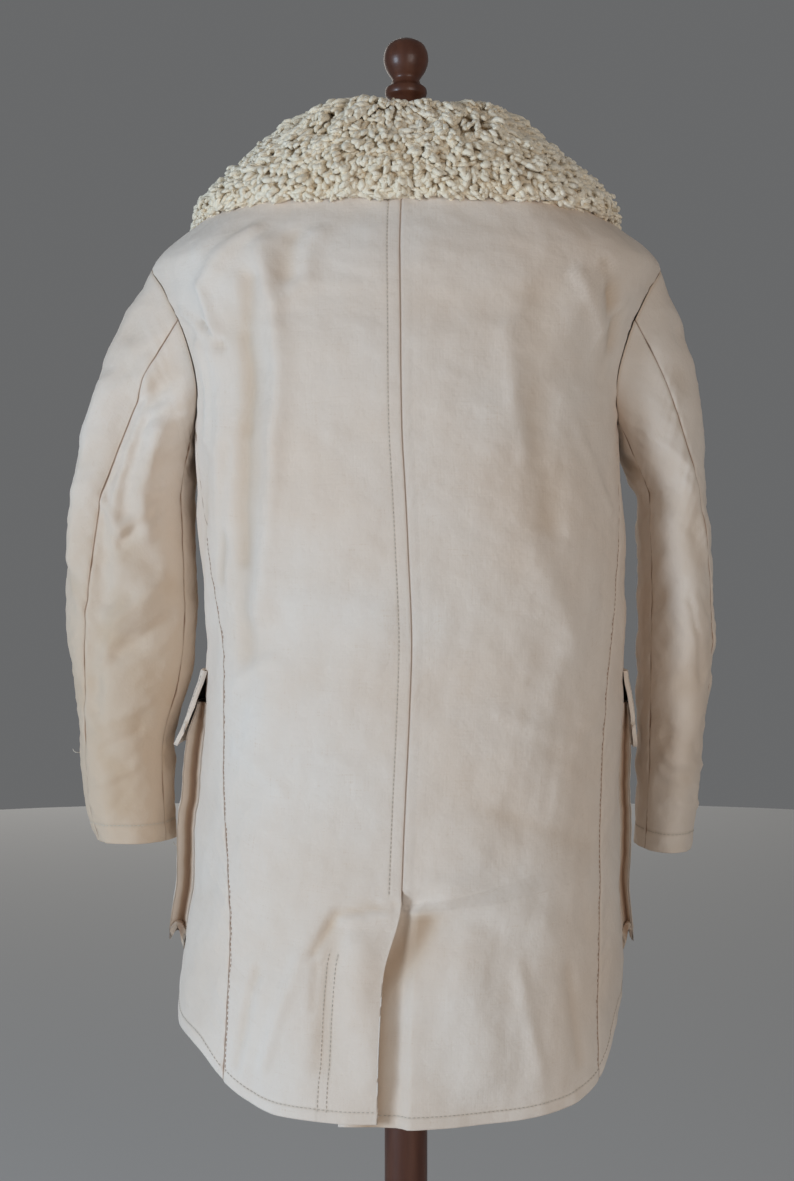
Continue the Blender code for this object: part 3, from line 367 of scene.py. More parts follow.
@dataclass
class ClothPatch:
    """A dense grid of cloth: its outer points, normals and cloth coordinates.

    Its marks hold seam shade, stitch shade and fold shade, each from 0 to 1.
    """

    name: str
    outer: Array
    normals: Array
    thickness: float = CLOTH
    angle: Array | None = None
    height: Array | None = None
    marks: Array = field(init=False)
    across: Array = field(init=False)
    along: Array = field(init=False)

    def __post_init__(self) -> None:
        """Measures the cloth along its rows and columns."""
        self.marks = np.zeros(self.outer.shape)
        self.across = np.stack([walk(row) for row in self.outer])
        self.along = np.stack([walk(line) for line in self.outer.transpose(1, 0, 2)], -1)

    def distance_to(self, edge: Edge) -> Array:
        """How far each point lies from an edge, along the cloth."""
        if edge is Edge.FIRST_COLUMN:
            return self.across
        if edge is Edge.LAST_COLUMN:
            return self.across[:, -1:] - self.across
        if edge is Edge.FIRST_ROW:
            return self.along
        return self.along[-1:, :] - self.along

    def distance_along(self, edge: Edge) -> Array:
        """How far along an edge each point lies."""
        return self.along if edge in (Edge.FIRST_COLUMN, Edge.LAST_COLUMN) else self.across

    def from_sides(self) -> Array:
        """How far each point lies from the nearer side edge."""
        return np.minimum(self.distance_to(Edge.FIRST_COLUMN), self.distance_to(Edge.LAST_COLUMN))

    def line_beside(self, edge: Edge, distance: float, skip: Pair = (0.0, 0.0)) -> tuple[Array, Array]:
        """A line on the cloth at a distance from an edge.

        Args:
            edge: The edge that the line follows.
            distance: Metres from that edge.
            skip: Shares of the line left out at its start and end.

        Returns:
            Points and normals along the line.
        """
        away = self.distance_to(edge)
        points, normals = self.outer, self.normals
        if edge in (Edge.FIRST_ROW, Edge.LAST_ROW):
            away, points, normals = away.T, points.transpose(1, 0, 2), normals.transpose(1, 0, 2)
        if edge in (Edge.LAST_COLUMN, Edge.LAST_ROW):
            away, points, normals = away[:, ::-1], points[:, ::-1], normals[:, ::-1]
        first, last = int(len(away) * skip[0]), int(len(away) * (1.0 - skip[1]))
        found, ways = [], []
        for line, spots, turns in zip(away[first:last], points[first:last], normals[first:last]):
            if line[-1] > distance:
                found.append(on_line(distance, line, spots))
                ways.append(on_line(distance, line, turns))
        return np.array(found), unit(np.array(ways))

    def push(self, move: Array) -> None:
        """Moves the outer cloth along its normals, and turns the normals with it."""
        self.outer = self.outer + self.normals * np.asarray(move)[..., None]
        down, around = np.gradient(self.outer, axis=0), np.gradient(self.outer, axis=1)
        turned = unit(np.cross(down, around))
        self.normals = turned * np.sign((turned * self.normals).sum(-1, keepdims=True))

    def shade(self, channel: int, amount: Array) -> None:
        """Adds to one of the marks."""
        self.marks[..., channel] = np.clip(self.marks[..., channel] + amount, 0.0, 1.0)

    def mesh_object(self, material: Material) -> Object:
        """Makes the cloth as a closed sheet of even thickness, with its coordinates and marks."""
        rows, columns = self.outer.shape[:2]
        inner = self.outer - self.normals * self.thickness
        points = np.concatenate([self.outer.reshape(-1, 3), inner.reshape(-1, 3)])
        faces = wall_faces(rows, columns)
        first = faces[: (rows - 1) * (columns - 1)]
        corner, following, _, before = (points[first[:, k]] for k in range(4))
        facing = np.cross(following - corner, before - corner)
        if (facing * self.normals.reshape(-1, 3)[first[:, 0]]).sum() < 0:
            faces = faces[:, ::-1]
        obj = new_mesh(self.name, points, faces, material)
        cloth = np.tile(np.stack([self.across, self.along], -1).reshape(-1, 2), (2, 1))
        layer = obj.data.uv_layers.new(name="cloth")
        layer.data.foreach_set("uv", cloth[faces.reshape(-1)].reshape(-1))
        write_marks(obj, np.tile(self.marks.reshape(-1, 3), (2, 1)))
        return obj


def plain_object(name: str, points: Array, faces: Array | list) -> Object:
    """A mesh object in the scene, made from points and faces."""
    mesh = bpy.data.meshes.new(name)
    mesh.from_pydata(points.tolist(), [], faces.tolist() if isinstance(faces, Array) else faces)
    obj = bpy.data.objects.new(name, mesh)
    bpy.context.scene.collection.objects.link(obj)
    return obj


def new_mesh(name: str, points: Array, faces: Array | list, material: Material) -> Object:
    """A smooth-shaded mesh object that rides on the root body."""
    obj = plain_object(name, points, faces)
    obj.data.shade_smooth()
    obj.data.materials.append(material)
    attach(obj, ROOT)
    return obj


def wall_faces(rows: int, columns: int) -> Array:
    """Four-sided faces of a closed wall between two grids of points, the outer one first."""
    count = rows * columns
    index = np.arange(count).reshape(rows, columns)
    quads = np.stack([index[:-1, :-1], index[:-1, 1:], index[1:, 1:], index[1:, :-1]], -1).reshape(-1, 4)
    rim = np.concatenate([index[0, :], index[1:, -1], index[-1, -2::-1], index[-2:0:-1, 0]])
    onward = np.roll(rim, -1)
    edges = np.stack([onward, rim, rim + count, onward + count], -1)
    return np.concatenate([quads, quads[:, ::-1] + count, edges])


def write_marks(obj: Object, marks: Array) -> None:
    """Gives each point of an object its three marks, which its material reads."""
    attribute = obj.data.color_attributes.new("marks", "FLOAT_COLOR", "POINT")
    attribute.data.foreach_set("color", np.pad(marks, ((0, 0), (0, 1)), constant_values=1.0).reshape(-1))


def read_rows(grid: Array, rows: Array) -> Array:
    """Reads a grid at fractional rows on smooth curves through its rows."""
    return np.stack([read_smoothly(range(len(grid)), line, rows) for line in grid.T], -1)


def close_to_edges(length: float, step: float, near: Sequence[float] = EDGE_STEPS) -> Array:
    """Shares of a length, close together by both ends and evenly parted between them."""
    near = np.asarray(near) / length
    middle = np.linspace(near[-1], 1.0 - near[-1], max(int((1.0 - 2 * near[-1]) * length / step), 2))
    return np.concatenate([near[:-1], middle, 1.0 - near[-2::-1]])


@dataclass
class BodyPanels:
    """The two halves of the back and the two fronts, cut as the part's solids are."""

    torso: Torso
    seam_angle: float = 91.0
    back_neck_height: float = 1.49
    neck_point_height: float = 1.497
    break_height: float = 1.335
    centre_seam_angle: float = 0.7
    armhole_top: float = 1.388
    armhole_bottom: float = 1.21
    armhole_half_angle: float = 24.0
    armhole_join: float = 30.0
    back_stations: int = 8
    front_stations: int = 11
    armhole_back_top: float = 1.385
    armhole_front_top: float = 1.3
    vent_top: float = 0.756
    vent_dimple: float = 0.015
    dimple_angle: float = 4.0
    underlap_angle: float = 10.6
    underlap_inset: float = 0.0085
    overlap_angle: float = 5.0
    front_under_inset: float = 0.0037
    front_step_angle: float = 6.0
    row_step: float = 0.0042
    column_step: float = 0.004
    shoulder_heights: tuple[float, ...] = (1.405, 1.425, 1.448, 1.472, 1.497)
    near_columns: int = 3
    close_columns: int = 15
    back_width: float = 0.2
    front_width: float = 0.38
    vent_step: float = 0.0014
    vent_opens_over: float = 0.07
    vent_opening: float = 2.3
    near_share: float = 0.066
    neckline: tuple[Pair, ...] = (
        (91, 1.497), (118, 1.493), (138, 1.484), (153, 1.468), (164, 1.44), (172, 1.4), (180, 1.335),
    )
    hem: tuple[HemPoint, ...] = table(
        HemPoint,
        (0, 0.557, 0.552), (15, 0.558, 0.553), (30, 0.563, 0.556), (42, 0.582, 0.563), (52, 0.606, 0.578),
        (66, 0.618, 0.618), (90, 0.64, 0.642), (120, 0.622, 0.622), (145, 0.585, 0.585),
        (165, 0.568, 0.568), (200, 0.566, 0.566),
    )
    side_seam: tuple[SeamPoint, ...] = table(
        SeamPoint,
        (0.56, 42.5, 52.0), (0.64, 43.0, 53.0), (0.73, 46.0, 55.5), (0.86, 55.0, 56.5), (0.99, 60.0, 60.0),
        (1.08, 66.0, 66.5), (1.145, 71.0, 71.5), (1.2219, 79.0, 79.0),
    )
    rows: tuple[BodyRow, ...] = table(
        BodyRow,
        (0.556, 0.0, 0.566), (0.595, 0.06, 0.605), (0.64, 0.13, 0.65), (0.69, 0.21, 0.695),
        (0.735, 0.28, 0.735), (0.752, 0.32, 0.76), (0.756, 0.36, 0.785), (0.7715, 0.41, 0.815),
        (0.83, 0.5, 0.86), (0.905, 0.6, 0.905), (0.985, 0.71, 0.95), (1.07, 0.82, 0.99),
        (1.15, 0.92, 1.015), (1.205, 1.0, 1.03),
    )

    def armhole_at(self, turn: Array | float) -> tuple[Array, Array]:
        """Angle and height on the armhole. Turn 0 is its bottom, 90 its back and 180 its top."""
        half = (self.armhole_top - self.armhole_bottom) / 2
        middle, radians = self.armhole_middle(), np.radians(turn)
        return self.seam_angle - self.armhole_half_angle * np.sin(radians), middle - half * np.cos(radians)

    def armhole_middle(self) -> float:
        """The height of the armhole's middle."""
        return (self.armhole_top + self.armhole_bottom) / 2

    def hole_rows(self, front: bool) -> int:
        """Rows of a panel beside the armhole."""
        return self.front_stations if front else self.back_stations

    def hem_height(self, side: Side, angle: Array | float) -> Array:
        """The hem's height at each angle."""
        return read_column(self.hem, "angle", f"{side.label}_height", np.abs(angle))

    def side_seam_angle(self, side: Side, height: Array | float) -> Array:
        """The side seam's angle at a height."""
        return read_column(self.side_seam, "height", f"{side.label}_angle", height)

    def side_edge(self, side: Side, row: Array, front: bool) -> tuple[Array, Array]:
        """Angle and height of a panel's outer edge at fractional rows.

        It follows the side seam, the armhole and then the shoulder seam.
        """
        last, hole_rows = len(self.rows) - 1, self.hole_rows(front)
        bottom = float(self.hem_height(side, self.side_seam_angle(side, 0.6)))
        join_height = float(self.armhole_at(self.armhole_join)[1])
        share = np.interp(row, range(last + 1), column(self.rows, "side_share"))
        seam_height = bottom + (join_height - bottom) * share
        part = np.clip((row - last) / hole_rows, 0.0, 1.0)
        top_turn = -180.0 if front else 180.0
        hole_angle, hole_height = self.armhole_at(self.armhole_join + (top_turn - self.armhole_join) * part)
        shoulder = (self.armhole_top, *self.shoulder_heights)
        shoulder_height = np.interp(row - last - hole_rows, range(len(shoulder)), shoulder)
        below, above = row <= last, row >= last + hole_rows
        seam_angle = self.side_seam_angle(side, seam_height)
        angle = np.select([below, above], [seam_angle, self.seam_angle], hole_angle)
        return angle, np.select([below, above], [seam_height, shoulder_height], hole_height)

    def dense_rows(self, front: bool, extra: Sequence[float] = ()) -> tuple[Array, Array]:
        """Fractional rows a few millimetres apart, with their heights on the panel's centre edge."""
        levels = column(self.rows, "front_height" if front else "back_height")
        hole_rows = self.hole_rows(front)
        hole_top = self.armhole_front_top if front else self.armhole_back_top
        top = self.break_height if front else self.back_neck_height
        levels += list(np.linspace(levels[-1], hole_top, hole_rows + 1)[1:])
        levels += list(np.linspace(hole_top, top, len(self.shoulder_heights) + 1)[1:])
        span = levels[-1] - levels[0]
        heights = levels[0] + span * close_to_edges(span, self.row_step)
        for height in extra:
            heights[np.argmin(np.abs(heights - height))] = height
        return np.interp(heights, levels, np.arange(len(levels))), heights

    def fill(
        self, side: Side, row: Array, centre: tuple[Array | float, Array], share: Array, front: bool
    ) -> tuple[Array, Array]:
        """Angle and height of each point between the centre edge and the outer edge."""
        edge_angle, edge_height = self.side_edge(side, row, front)
        angle = centre[0] * (1 - share) + edge_angle[:, None] * share
        height = centre[1][:, None] * (1 - share) + edge_height[:, None] * share
        fade = (1.0 - row / row[-1])[:, None] ** 5
        return side.value * angle, height + (self.hem_height(side, angle[0]) - height[0]) * fade

    def part_seam(self, side: Side, angle: Array, height: Array, row: Array, front: bool) -> Array:
        """Draws the outer edge a little way off its seam, but not off the armhole."""
        last = len(self.rows) - 1
        hole = self.hole_rows(front)
        meets = np.interp(row, [last, last + 1, last + hole, last + hole + 1], [1.0, 0.0, 0.0, 1.0])
        gap = self.torso.angle_for(SEAM_GAP / 2, angle[:, -1], height[:, -1])
        angle[:, -1] += (1.0 if front else -1.0) * side.value * gap * meets
        return angle

    def back_layout(self, side: Side) -> tuple[Array, Array, Array]:
        """Angle, height and inset of each point of one half of the back."""
        near, near_share = self.near_columns, self.near_share
        row, heights = self.dense_rows(False, (self.vent_top - self.vent_step, self.vent_top))
        close = np.linspace(0.0, near, self.close_columns)
        far = close_to_edges(self.back_width, self.column_step)[1:]
        share = np.concatenate([close / near * near_share, near_share + (1.0 - near_share) * far])
        angle, height = self.fill(side, row, (0.0, heights), share, False)
        in_vent = heights < self.vent_top - 0.001
        gap = self.torso.angle_for(SEAM_GAP / 2, 0.0, heights)
        if side is Side.LEFT:
            open_share = ease((self.vent_top - heights) / self.vent_opens_over)
            first = self.centre_seam_angle + gap + open_share * self.vent_opening
            middle = [first * 2 / 3 + 1.0, first / 3 + 2.0]
        else:
            seam = self.centre_seam_angle - gap
            first = np.where(in_vent, self.underlap_angle, seam)
            middle = [np.where(in_vent, 1.6, seam * 2 / 3 - 1.0), np.where(in_vent, 0.2, seam / 3 - 2.0)]
        joint_angle, count = side.value * near, len(close)
        stations = np.stack([first, *middle, np.full_like(heights, joint_angle)], 1)
        angle[:, :count] = [np.interp(close, range(near + 1), line) for line in stations]
        angle[:, count:] = joint_angle * (1 - far) + angle[:, -1:] * far
        inset = self.underlap(angle, height, in_vent) if side is Side.RIGHT else np.zeros_like(angle)
        return self.part_seam(side, angle, height, row, False), height, inset

    def underlap(self, angle: Array, height: Array, in_vent: Array) -> Array:
        """How far the right half lies inside the left one at the vent, and is drawn in just above it."""
        across = 1.0 - ease((0.4 - angle) / 1.6)
        inset = np.where(in_vent[:, None], self.underlap_inset * across, 0.0)
        drawn = np.where(~in_vent, ease(1.0 - (height[:, 0] - self.vent_top) / self.vent_dimple), 0.0)
        beside = bump(angle - self.centre_seam_angle, self.dimple_angle)
        return inset + self.underlap_inset * drawn[:, None] * beside

    def front_layout(self, side: Side) -> tuple[Array, Array, Array]:
        """Angle, height and inset of each point of one front."""
        row, heights = self.dense_rows(True)
        centre_angle = 180.0 + self.overlap_angle
        share = close_to_edges(self.front_width, self.column_step * 1.2)
        angle, height = self.fill(side, row, (centre_angle, heights), share, True)
        line_angles, line_heights = zip(*self.neckline)
        weight, reach = (row / row[-1])[:, None] ** 7, centre_angle - self.seam_angle
        target = self.seam_angle + reach * ((np.abs(angle[-1]) - self.seam_angle) / reach).clip(0.0) ** 0.62
        target_height = read_smoothly(line_angles, line_heights, np.minimum(target, 180.0))
        angle = angle + weight * (side.value * target - angle[-1])
        height = height + weight * (target_height - height[-1])
        past = np.abs(angle) - (180.0 - self.overlap_angle - self.front_step_angle)
        under = self.front_under_inset * ease(past / self.front_step_angle)
        inset = under if side is Side.RIGHT else np.zeros_like(angle)
        return self.part_seam(side, angle, height, row, True), height, inset

    def patch(self, side: Side, front: bool) -> ClothPatch:
        """One panel as smooth cloth with the body's large folds."""
        angle, height, inset = self.front_layout(side) if front else self.back_layout(side)
        outer, normals = self.torso.surface(angle, height, -inset), self.torso.normal(angle, height)
        name = f"{'front' if front else 'back'}_{side.label}_cloth"
        return ClothPatch(name, outer, normals, angle=angle, height=height)


def ring_faces(rings: int, corners: int) -> Array:
    """Four-sided faces between rings of points, one ring after the other."""
    ring = np.arange(corners)
    onward, low = (ring + 1) % corners, (np.arange(rings - 1) * corners)[:, None]
    high = low + corners
    return np.stack([low + ring, low + onward, high + onward, high + ring], -1).reshape(-1, 4)


def tube(centre: Array, up: Array, sizes: Array, corners: int, flat: float = 1.0) -> Array:
    """Rings of points round lines of centres, as lines by rings by corners."""
    onward = unit(np.gradient(centre, axis=1))
    aside = unit(np.cross(up, onward))
    turn = np.arange(corners) * 2 * np.pi / corners
    aside, upright = aside[:, :, None], flat * np.cross(onward, aside)[:, :, None]
    ring = aside * np.cos(turn)[:, None] + upright * np.sin(turn)[:, None]
    return centre[:, :, None] + ring * sizes[..., None, None]


class TubeMesh:
    """Collects many small closed tubes into one mesh, with a mark for each point."""

    def __init__(self) -> None:
        """Starts with no tube."""
        self.points, self.marks, self.faces, self.caps = ([] for _ in range(4))
        self.count = 0

    def add(self, points: Array, marks: Array | None = None) -> None:
        """Adds tubes of points, tubes by rings by corners, with marks of the same shape."""
        tubes, rings, corners = points.shape[:3]
        ring = np.arange(corners)
        ends = np.stack([ring[::-1], (rings - 1) * corners + ring])
        quads = ring_faces(rings, corners)
        starts = self.count + np.arange(tubes)[:, None, None] * rings * corners
        self.faces.append((quads + starts).reshape(-1, 4))
        self.caps.append((ends + starts).reshape(-1, corners))
        self.points.append(points.reshape(-1, 3))
        self.marks.append(np.zeros((tubes * rings * corners, 3)) if marks is None else marks.reshape(-1, 3))
        self.count += tubes * rings * corners

    def shape(self) -> tuple[Array, list[list[int]]]:
        """Points and faces of all the tubes so far."""
        faces = [face for block in (*self.faces, *self.caps) for face in block.tolist()]
        return np.concatenate(self.points), faces

    def make(self, name: str, material: Material, slot: str) -> Object:
        """One piece of all the tubes so far."""
        obj = new_mesh(name, *self.shape(), material)
        write_marks(obj, np.concatenate(self.marks))
        return obj


@dataclass
class Collar:
    """A wide collar of curly pile that rises to a roll round the neck and falls on the shoulders."""

    panels: BodyPanels
    half_thickness: float = 0.008
    rest_gap: float = 0.0007
    seam_lift: float = 0.0027
    middle_share: float = 0.52
    stations_a_side: int = 74
    section_steps: int = 30
    curve_steps: int = 10
    rows: tuple[CollarRow, ...] = table(
        CollarRow,
        (0, 0.09, 1.527, 0, 1.436, 0.014), (30, 0.091, 1.528, 30, 1.434, 0.015),
        (60, 0.094, 1.53, 60, 1.431, 0.015), (88, 0.098, 1.53, 88, 1.43, 0.014),
        (112, 0.1, 1.521, 112, 1.418, 0.015), (132, 0.106, 1.504, 131, 1.394, 0.014),
        (148, 0.117, 1.478, 144, 1.352, 0.012), (160, 0.129, 1.443, 153, 1.305, 0.01),
        (168, 0.14, 1.402, 159, 1.27, 0.008), (176, 0.151, 1.358, 165, 1.245, 0.006),
    )
    half_thicknesses: tuple[Pair, ...] = (
        (0.0, 0.002), (0.16, 0.006), (0.32, 0.008), (0.88, 0.008), (1.0, 0.0045),
    )

    def neckline_height(self, angle: float) -> float:
        """The neck seam's height at an angle."""
        panels, away = self.panels, abs(angle)
        if away < panels.seam_angle:
            rise = panels.neck_point_height - panels.back_neck_height
            return panels.back_neck_height + rise * float(ease(away / panels.seam_angle))
        angles, heights = zip(*panels.neckline)
        return float(read_smoothly(angles, heights, away))

    @staticmethod
    def curve_through(points: Array, steps: int) -> Array:
        """Evenly parted points on a smooth curve through a few given ones."""
        at = running(np.sqrt(np.linalg.norm(np.diff(points, axis=0), axis=1)))
        fine = np.linspace(0.0, at[-1], 80)
        dense = np.stack([read_smoothly(at, points[:, k], fine) for k in range(3)], -1)
        walked = walk(dense)
        return on_line(np.linspace(0.0, walked[-1], steps), walked, dense)

    def section(self, angle: float) -> tuple[Array, Array]:
        """Outer and inner points from the neck seam over the roll to the outer edge."""
        torso = self.panels.torso
        radius, roll_height, edge_angle, edge_height, crown = (
            float(read_column(self.rows, "angle", name, abs(angle))) for name in CollarRow._fields[1:]
        )
        height, rest = self.neckline_height(angle), self.half_thickness + self.rest_gap
        seam = torso.surface(angle, height, self.seam_lift)
        outward = np.array([*seam[:2], 0.0]) / math.hypot(*seam[:2])
        roll = outward * radius + np.array([0.0, 0.0, roll_height])
        edge_angle = math.copysign(edge_angle, angle)
        middle_height = edge_height + self.middle_share * (height - edge_height)
        middle = torso.surface((angle + edge_angle) / 2, middle_height, rest + crown)
        edge = torso.surface(edge_angle, edge_height, rest)
        path = self.curve_through(np.array([seam, roll, middle, edge]), self.curve_steps)
        along = unit(np.gradient(path, axis=0))
        aside = unit(np.cross(np.array([0.0, 0.0, 1.0]), outward)) * np.ones_like(path)
        way_out = unit(np.cross(along, aside))
        shares, sizes = zip(*self.half_thicknesses)
        half = np.interp(np.linspace(0.0, 1.0, self.curve_steps), shares, sizes)
        bend = -(np.gradient(along, axis=0) * way_out).sum(-1)
        step = np.linalg.norm(np.gradient(path, axis=0), axis=1)
        inner_half = np.minimum(half, 0.7 * step / np.maximum(bend, 1e-6))
        return path + way_out * half[:, None], path - way_out * inner_half[:, None]

    def grids(self) -> tuple[Array, Array]:
        """The collar's outer and inner surfaces, stations by section points."""
        last = self.rows[-1].angle
        side = last * np.linspace(0.0, 1.0, self.stations_a_side + 1) ** 0.92
        angles = np.concatenate([-side[:0:-1], [1e-6], side[1:]])
        sections = [self.section(float(angle)) for angle in angles]
        places = np.linspace(0, self.curve_steps - 1, self.section_steps)
        outer, inner = (
            np.stack([read_rows(np.array(coarse)[..., k].T, places).T for k in range(3)], -1)
            for coarse in zip(*sections)
        )
        return outer, inner


@dataclass(frozen=True)
class Wool:
    """Blunt curled locks of wool that grow on the collar and fall over its edge."""

    pitch: float = 0.0051
    first_share: float = 0.05
    rings: int = 5
    corners: int = 5
    ridge: Crumple = Crumple(5, 0.026, 1.0, waves=16, stretch=2.6)
    clump: Crumple = Crumple(8, 0.017, 1.0, waves=14)
    sway: Crumple = Crumple(6, 0.05, 1.0, waves=10)
    rim_depths: tuple[float, ...] = (0.0015, 0.0045, 0.0075)
    humps: tuple[Triple, ...] = ((0.42, 0.035, 0.005), (0.565, 0.05, 0.0045), (0.487, 0.016, -0.004))
    hump_section: float = 0.34
    hump_reach: float = 0.22
    combed_to: float = 0.45
    combed_fade: float = 0.3
    strays: Pair = (0.18, 0.52)
    stray_curl: float = 2.4
    least_step: float = 0.0012
    lengths: Pair = (0.009, 0.013)
    combed_extra: float = 0.005
    lifts: Pair = (0.0026, 0.005)
    ridge_lift: float = 0.0024
    thicknesses: Pair = (0.0023, 0.0037)
    fly_rise: float = 0.0045
    fly_chance: float = 0.72
    seed: int = 41

    def roots(self, surface: Array, draw: np.random.Generator) -> tuple[Array, Array, Array]:
        """Station and section place of each root, as fractional grid indices, and its depth."""
        walked = running(np.linalg.norm(np.diff(surface, axis=1), axis=2).mean(0))
        indices = np.arange(len(walked))
        rows = [(at, 0.0) for at in np.arange(walked[-1] * self.first_share, walked[-1], self.pitch)]
        rows += [(walked[-1], depth) for depth in self.rim_depths]
        found = []
        for row, (at, depth) in enumerate(rows):
            around = walk(surface[:, int(round(float(np.interp(at, walked, indices))))])
            spots = np.arange(self.pitch * (0.5 + 0.5 * (row % 2)), around[-1], self.pitch)
            spots = spots + draw.uniform(-0.45, 0.45, len(spots)) * self.pitch
            jitter = draw.uniform(-0.45, 0.45, len(spots)) * self.pitch * (depth == 0.0)
            stations = np.interp(spots, around, np.arange(len(around)))
            places = np.interp(np.clip(at + jitter, 0.0, walked[-1]), walked, indices)
            found.append((stations, places, np.full(len(spots), depth)))
        stations, places, depths = (np.concatenate(parts) for parts in zip(*found))
        return stations, places, depths

    def grow(self, surface: Array, normals: Array) -> tuple[Array, Array, Array]:
        """Grows every lock over a surface of stations by section places.

        Args:
            surface: The collar's outer points.
            normals: Its outward normals.

        Returns:
            Points as strands by rings by corners, marks of the same shape with root-to-tip share, chance
            and painted shade, and each strand's root station as a share of the collar's length.
        """
        draw = np.random.default_rng(self.seed)
        station, place, depth = self.roots(surface, draw)
        count, stations, places = len(station), *surface.shape[:2]
        root = (station.astype(int) % (stations - 1), place.astype(int) % (places - 1))
        steps_around = np.linalg.norm(np.diff(surface, axis=0), axis=2)
        steps_down = np.linalg.norm(np.diff(surface, axis=1), axis=2)
        spot = (station * steps_around.mean(), place * steps_down.mean())
        near_around = np.maximum(steps_around[root], self.least_step)[:, None]
        near_down = steps_down[root][:, None]
        shares = np.linspace(0.0, 1.0, self.rings)
        section, chance = place / (places - 1), draw.uniform(0.0, 1.0, count)
        combed, home = 1.0 - ease((section - self.combed_to) / self.combed_fade), station / (stations - 1)
        ridge = self.ridge.at(*spot) * combed + self.clump.at(*spot) * (1.0 - combed)
        ridge = np.clip(ridge, -1.6, 1.6)
        humps = sum(rise * bump(home - at, width) for at, width, rise in self.humps)
        length = draw.uniform(*self.lengths, count) + self.combed_extra * combed
        fly = self.fly_rise * (draw.uniform(0.0, 1.0, count) > self.fly_chance)
        lift = draw.uniform(*self.lifts, count) + self.ridge_lift * ridge
        lift = lift + humps * bump(section - self.hump_section, self.hump_reach)
        loose = self.strays[0] + (self.strays[1] - self.strays[0]) * (1.0 - combed)
        yaw = (0.3 * self.sway.at(*spot) + draw.normal(0.0, 1.0, count) * loose)[:, None]
        yaw = yaw + (draw.normal(0.0, self.stray_curl, count) * loose)[:, None] * shares**2
        step = length[:, None] / (self.rings - 1)
        around = station[:, None] + np.cumsum(np.sin(yaw) * step, axis=1) / near_around
        down = place[:, None] + np.cumsum(np.cos(yaw) * step, axis=1) / near_down
        centre = self.on_grid(surface, around, down)
        normal = unit(self.on_grid(normals, around, np.minimum(down, places - 1)))
        arch = np.sin(np.pi * (0.06 + 0.72 * shares)) * lift[:, None] - 0.002 + 0.002 * shares
        past = np.maximum(down - (places - 1), 0.0) * near_down
        arch = arch + fly[:, None] * shares**2 - depth[:, None] - np.minimum(past * 0.75, 0.005)
        centre = centre + normal * arch[..., None]
        profile = np.interp(shares, [0.0, 0.25, 0.6, 0.85, 1.0], [0.85, 1.0, 1.0, 0.9, 0.5])
        lumps = 1.0 + 0.13 * np.sin(shares * 11.0 + chance[:, None] * 6.3)
        size = draw.uniform(*self.thicknesses, count)[:, None] * profile * lumps
        tubes = tube(centre, normal, size, self.corners, 0.85)
        # Painted shade, darker where the locks' ridges run low.
        valley_shade = np.clip(0.5 - 0.4 * ridge, 0.0, 1.0)[:, None]
        mark = np.stack(np.broadcast_arrays(shares, chance[:, None], valley_shade), -1)
        return tubes, np.repeat(mark[:, :, None], self.corners, axis=2), home

    @staticmethod
    def on_grid(grid: Array, station: Array, place: Array) -> Array:
        """Reads a grid of vectors at fractional places, and goes straight on past its last one."""
        stations, places = grid.shape[:2]
        station = np.clip(station, 0.0, stations - 1.001)
        held = np.clip(place, 0.0, places - 1.001)
        low, left = station.astype(int), held.astype(int)
        a, b = (station - low)[..., None], (held - left)[..., None]
        top = grid[low, left] * (1 - b) + grid[low, left + 1] * b
        bottom = grid[low + 1, left] * (1 - b) + grid[low + 1, left + 1] * b
        slope = grid[low, left + 1] - grid[low, left]
        return top * (1 - a) + bottom * a + slope * np.maximum(place - held, 0.0)[..., None]


class Mark:
    """The channels of a cloth patch's marks: seam lines, and painted shade in grooves, folds and recesses."""

    # Dark seam lines, part seam colour and part painted shadow, and painted shadow in recesses.
    SEAM = 0
    # Painted shade in topstitch grooves.
    STITCH = 1
    # Painted shade in folds, hollows and recesses, and on the lower sleeves.
    FOLD = 2


@dataclass(frozen=True)
class Seam:
    """A seam dip with drawn-in cloth beside it, and a dark line painted along it, part seam colour and part
    shadow.
    """

    depth: float = 0.0013
    half_width: float = 0.0022
    shade_width: float = 0.001
    pucker: float = 0.0011
    pucker_pitch: float = 0.021
    pucker_reach: float = 0.017

    def sew(self, patch: ClothPatch, edge: Edge, seed: int, where: Array | float = 1.0) -> None:
        """Draws the cloth in along an edge, with short puckers that die away from it.

        Args:
            patch: The cloth.
            edge: The sewn edge.
            seed: Sets the puckers' uneven spacing.
            where: Weight of each point, 0 where the edge is free.
        """
        away = patch.distance_to(edge)
        along = patch.distance_along(edge)
        uneven = Crumple(seed, 0.09, 0.9, waves=8).at(0.0, along)
        wave = np.sin(2 * math.pi * along / self.pucker_pitch + 3.0 * uneven) * (0.6 + 0.4 * np.tanh(uneven))
        skew = ease(away / 0.003) * np.exp(-away / self.pucker_reach)
        patch.push(where * (self.pucker * wave * skew - self.depth * bump(away, self.half_width)))
        # Paints the seam's dark line: part seam colour, part shadow in the dip.
        patch.shade(Mark.SEAM, where * bump(away, self.shade_width))


@dataclass(frozen=True)
class StitchRow:
    """A row of topstitching: the groove that it draws, with painted shade in it, and the thread that shows.
    """

    distance: float
    groove: float = 0.0006
    half_width: float = 0.0011
    length: float = 0.003
    pitch: float = 0.0042
    thickness: float = 0.00065
    bite_pitch: float = 0.0126

    def draw(self, patch: ClothPatch, edge: Edge, where: Array | float = 1.0) -> None:
        """Presses the groove into the cloth, lower where each stitch bites."""
        away = patch.distance_to(edge) - self.distance
        bite = 0.75 + 0.25 * np.cos(2 * math.pi * patch.distance_along(edge) / self.bite_pitch)
        patch.push(-where * self.groove * bite * bump(away, self.half_width))
        # Painted shade in the groove.
        patch.shade(Mark.STITCH, where * 0.8 * bump(away, self.half_width))


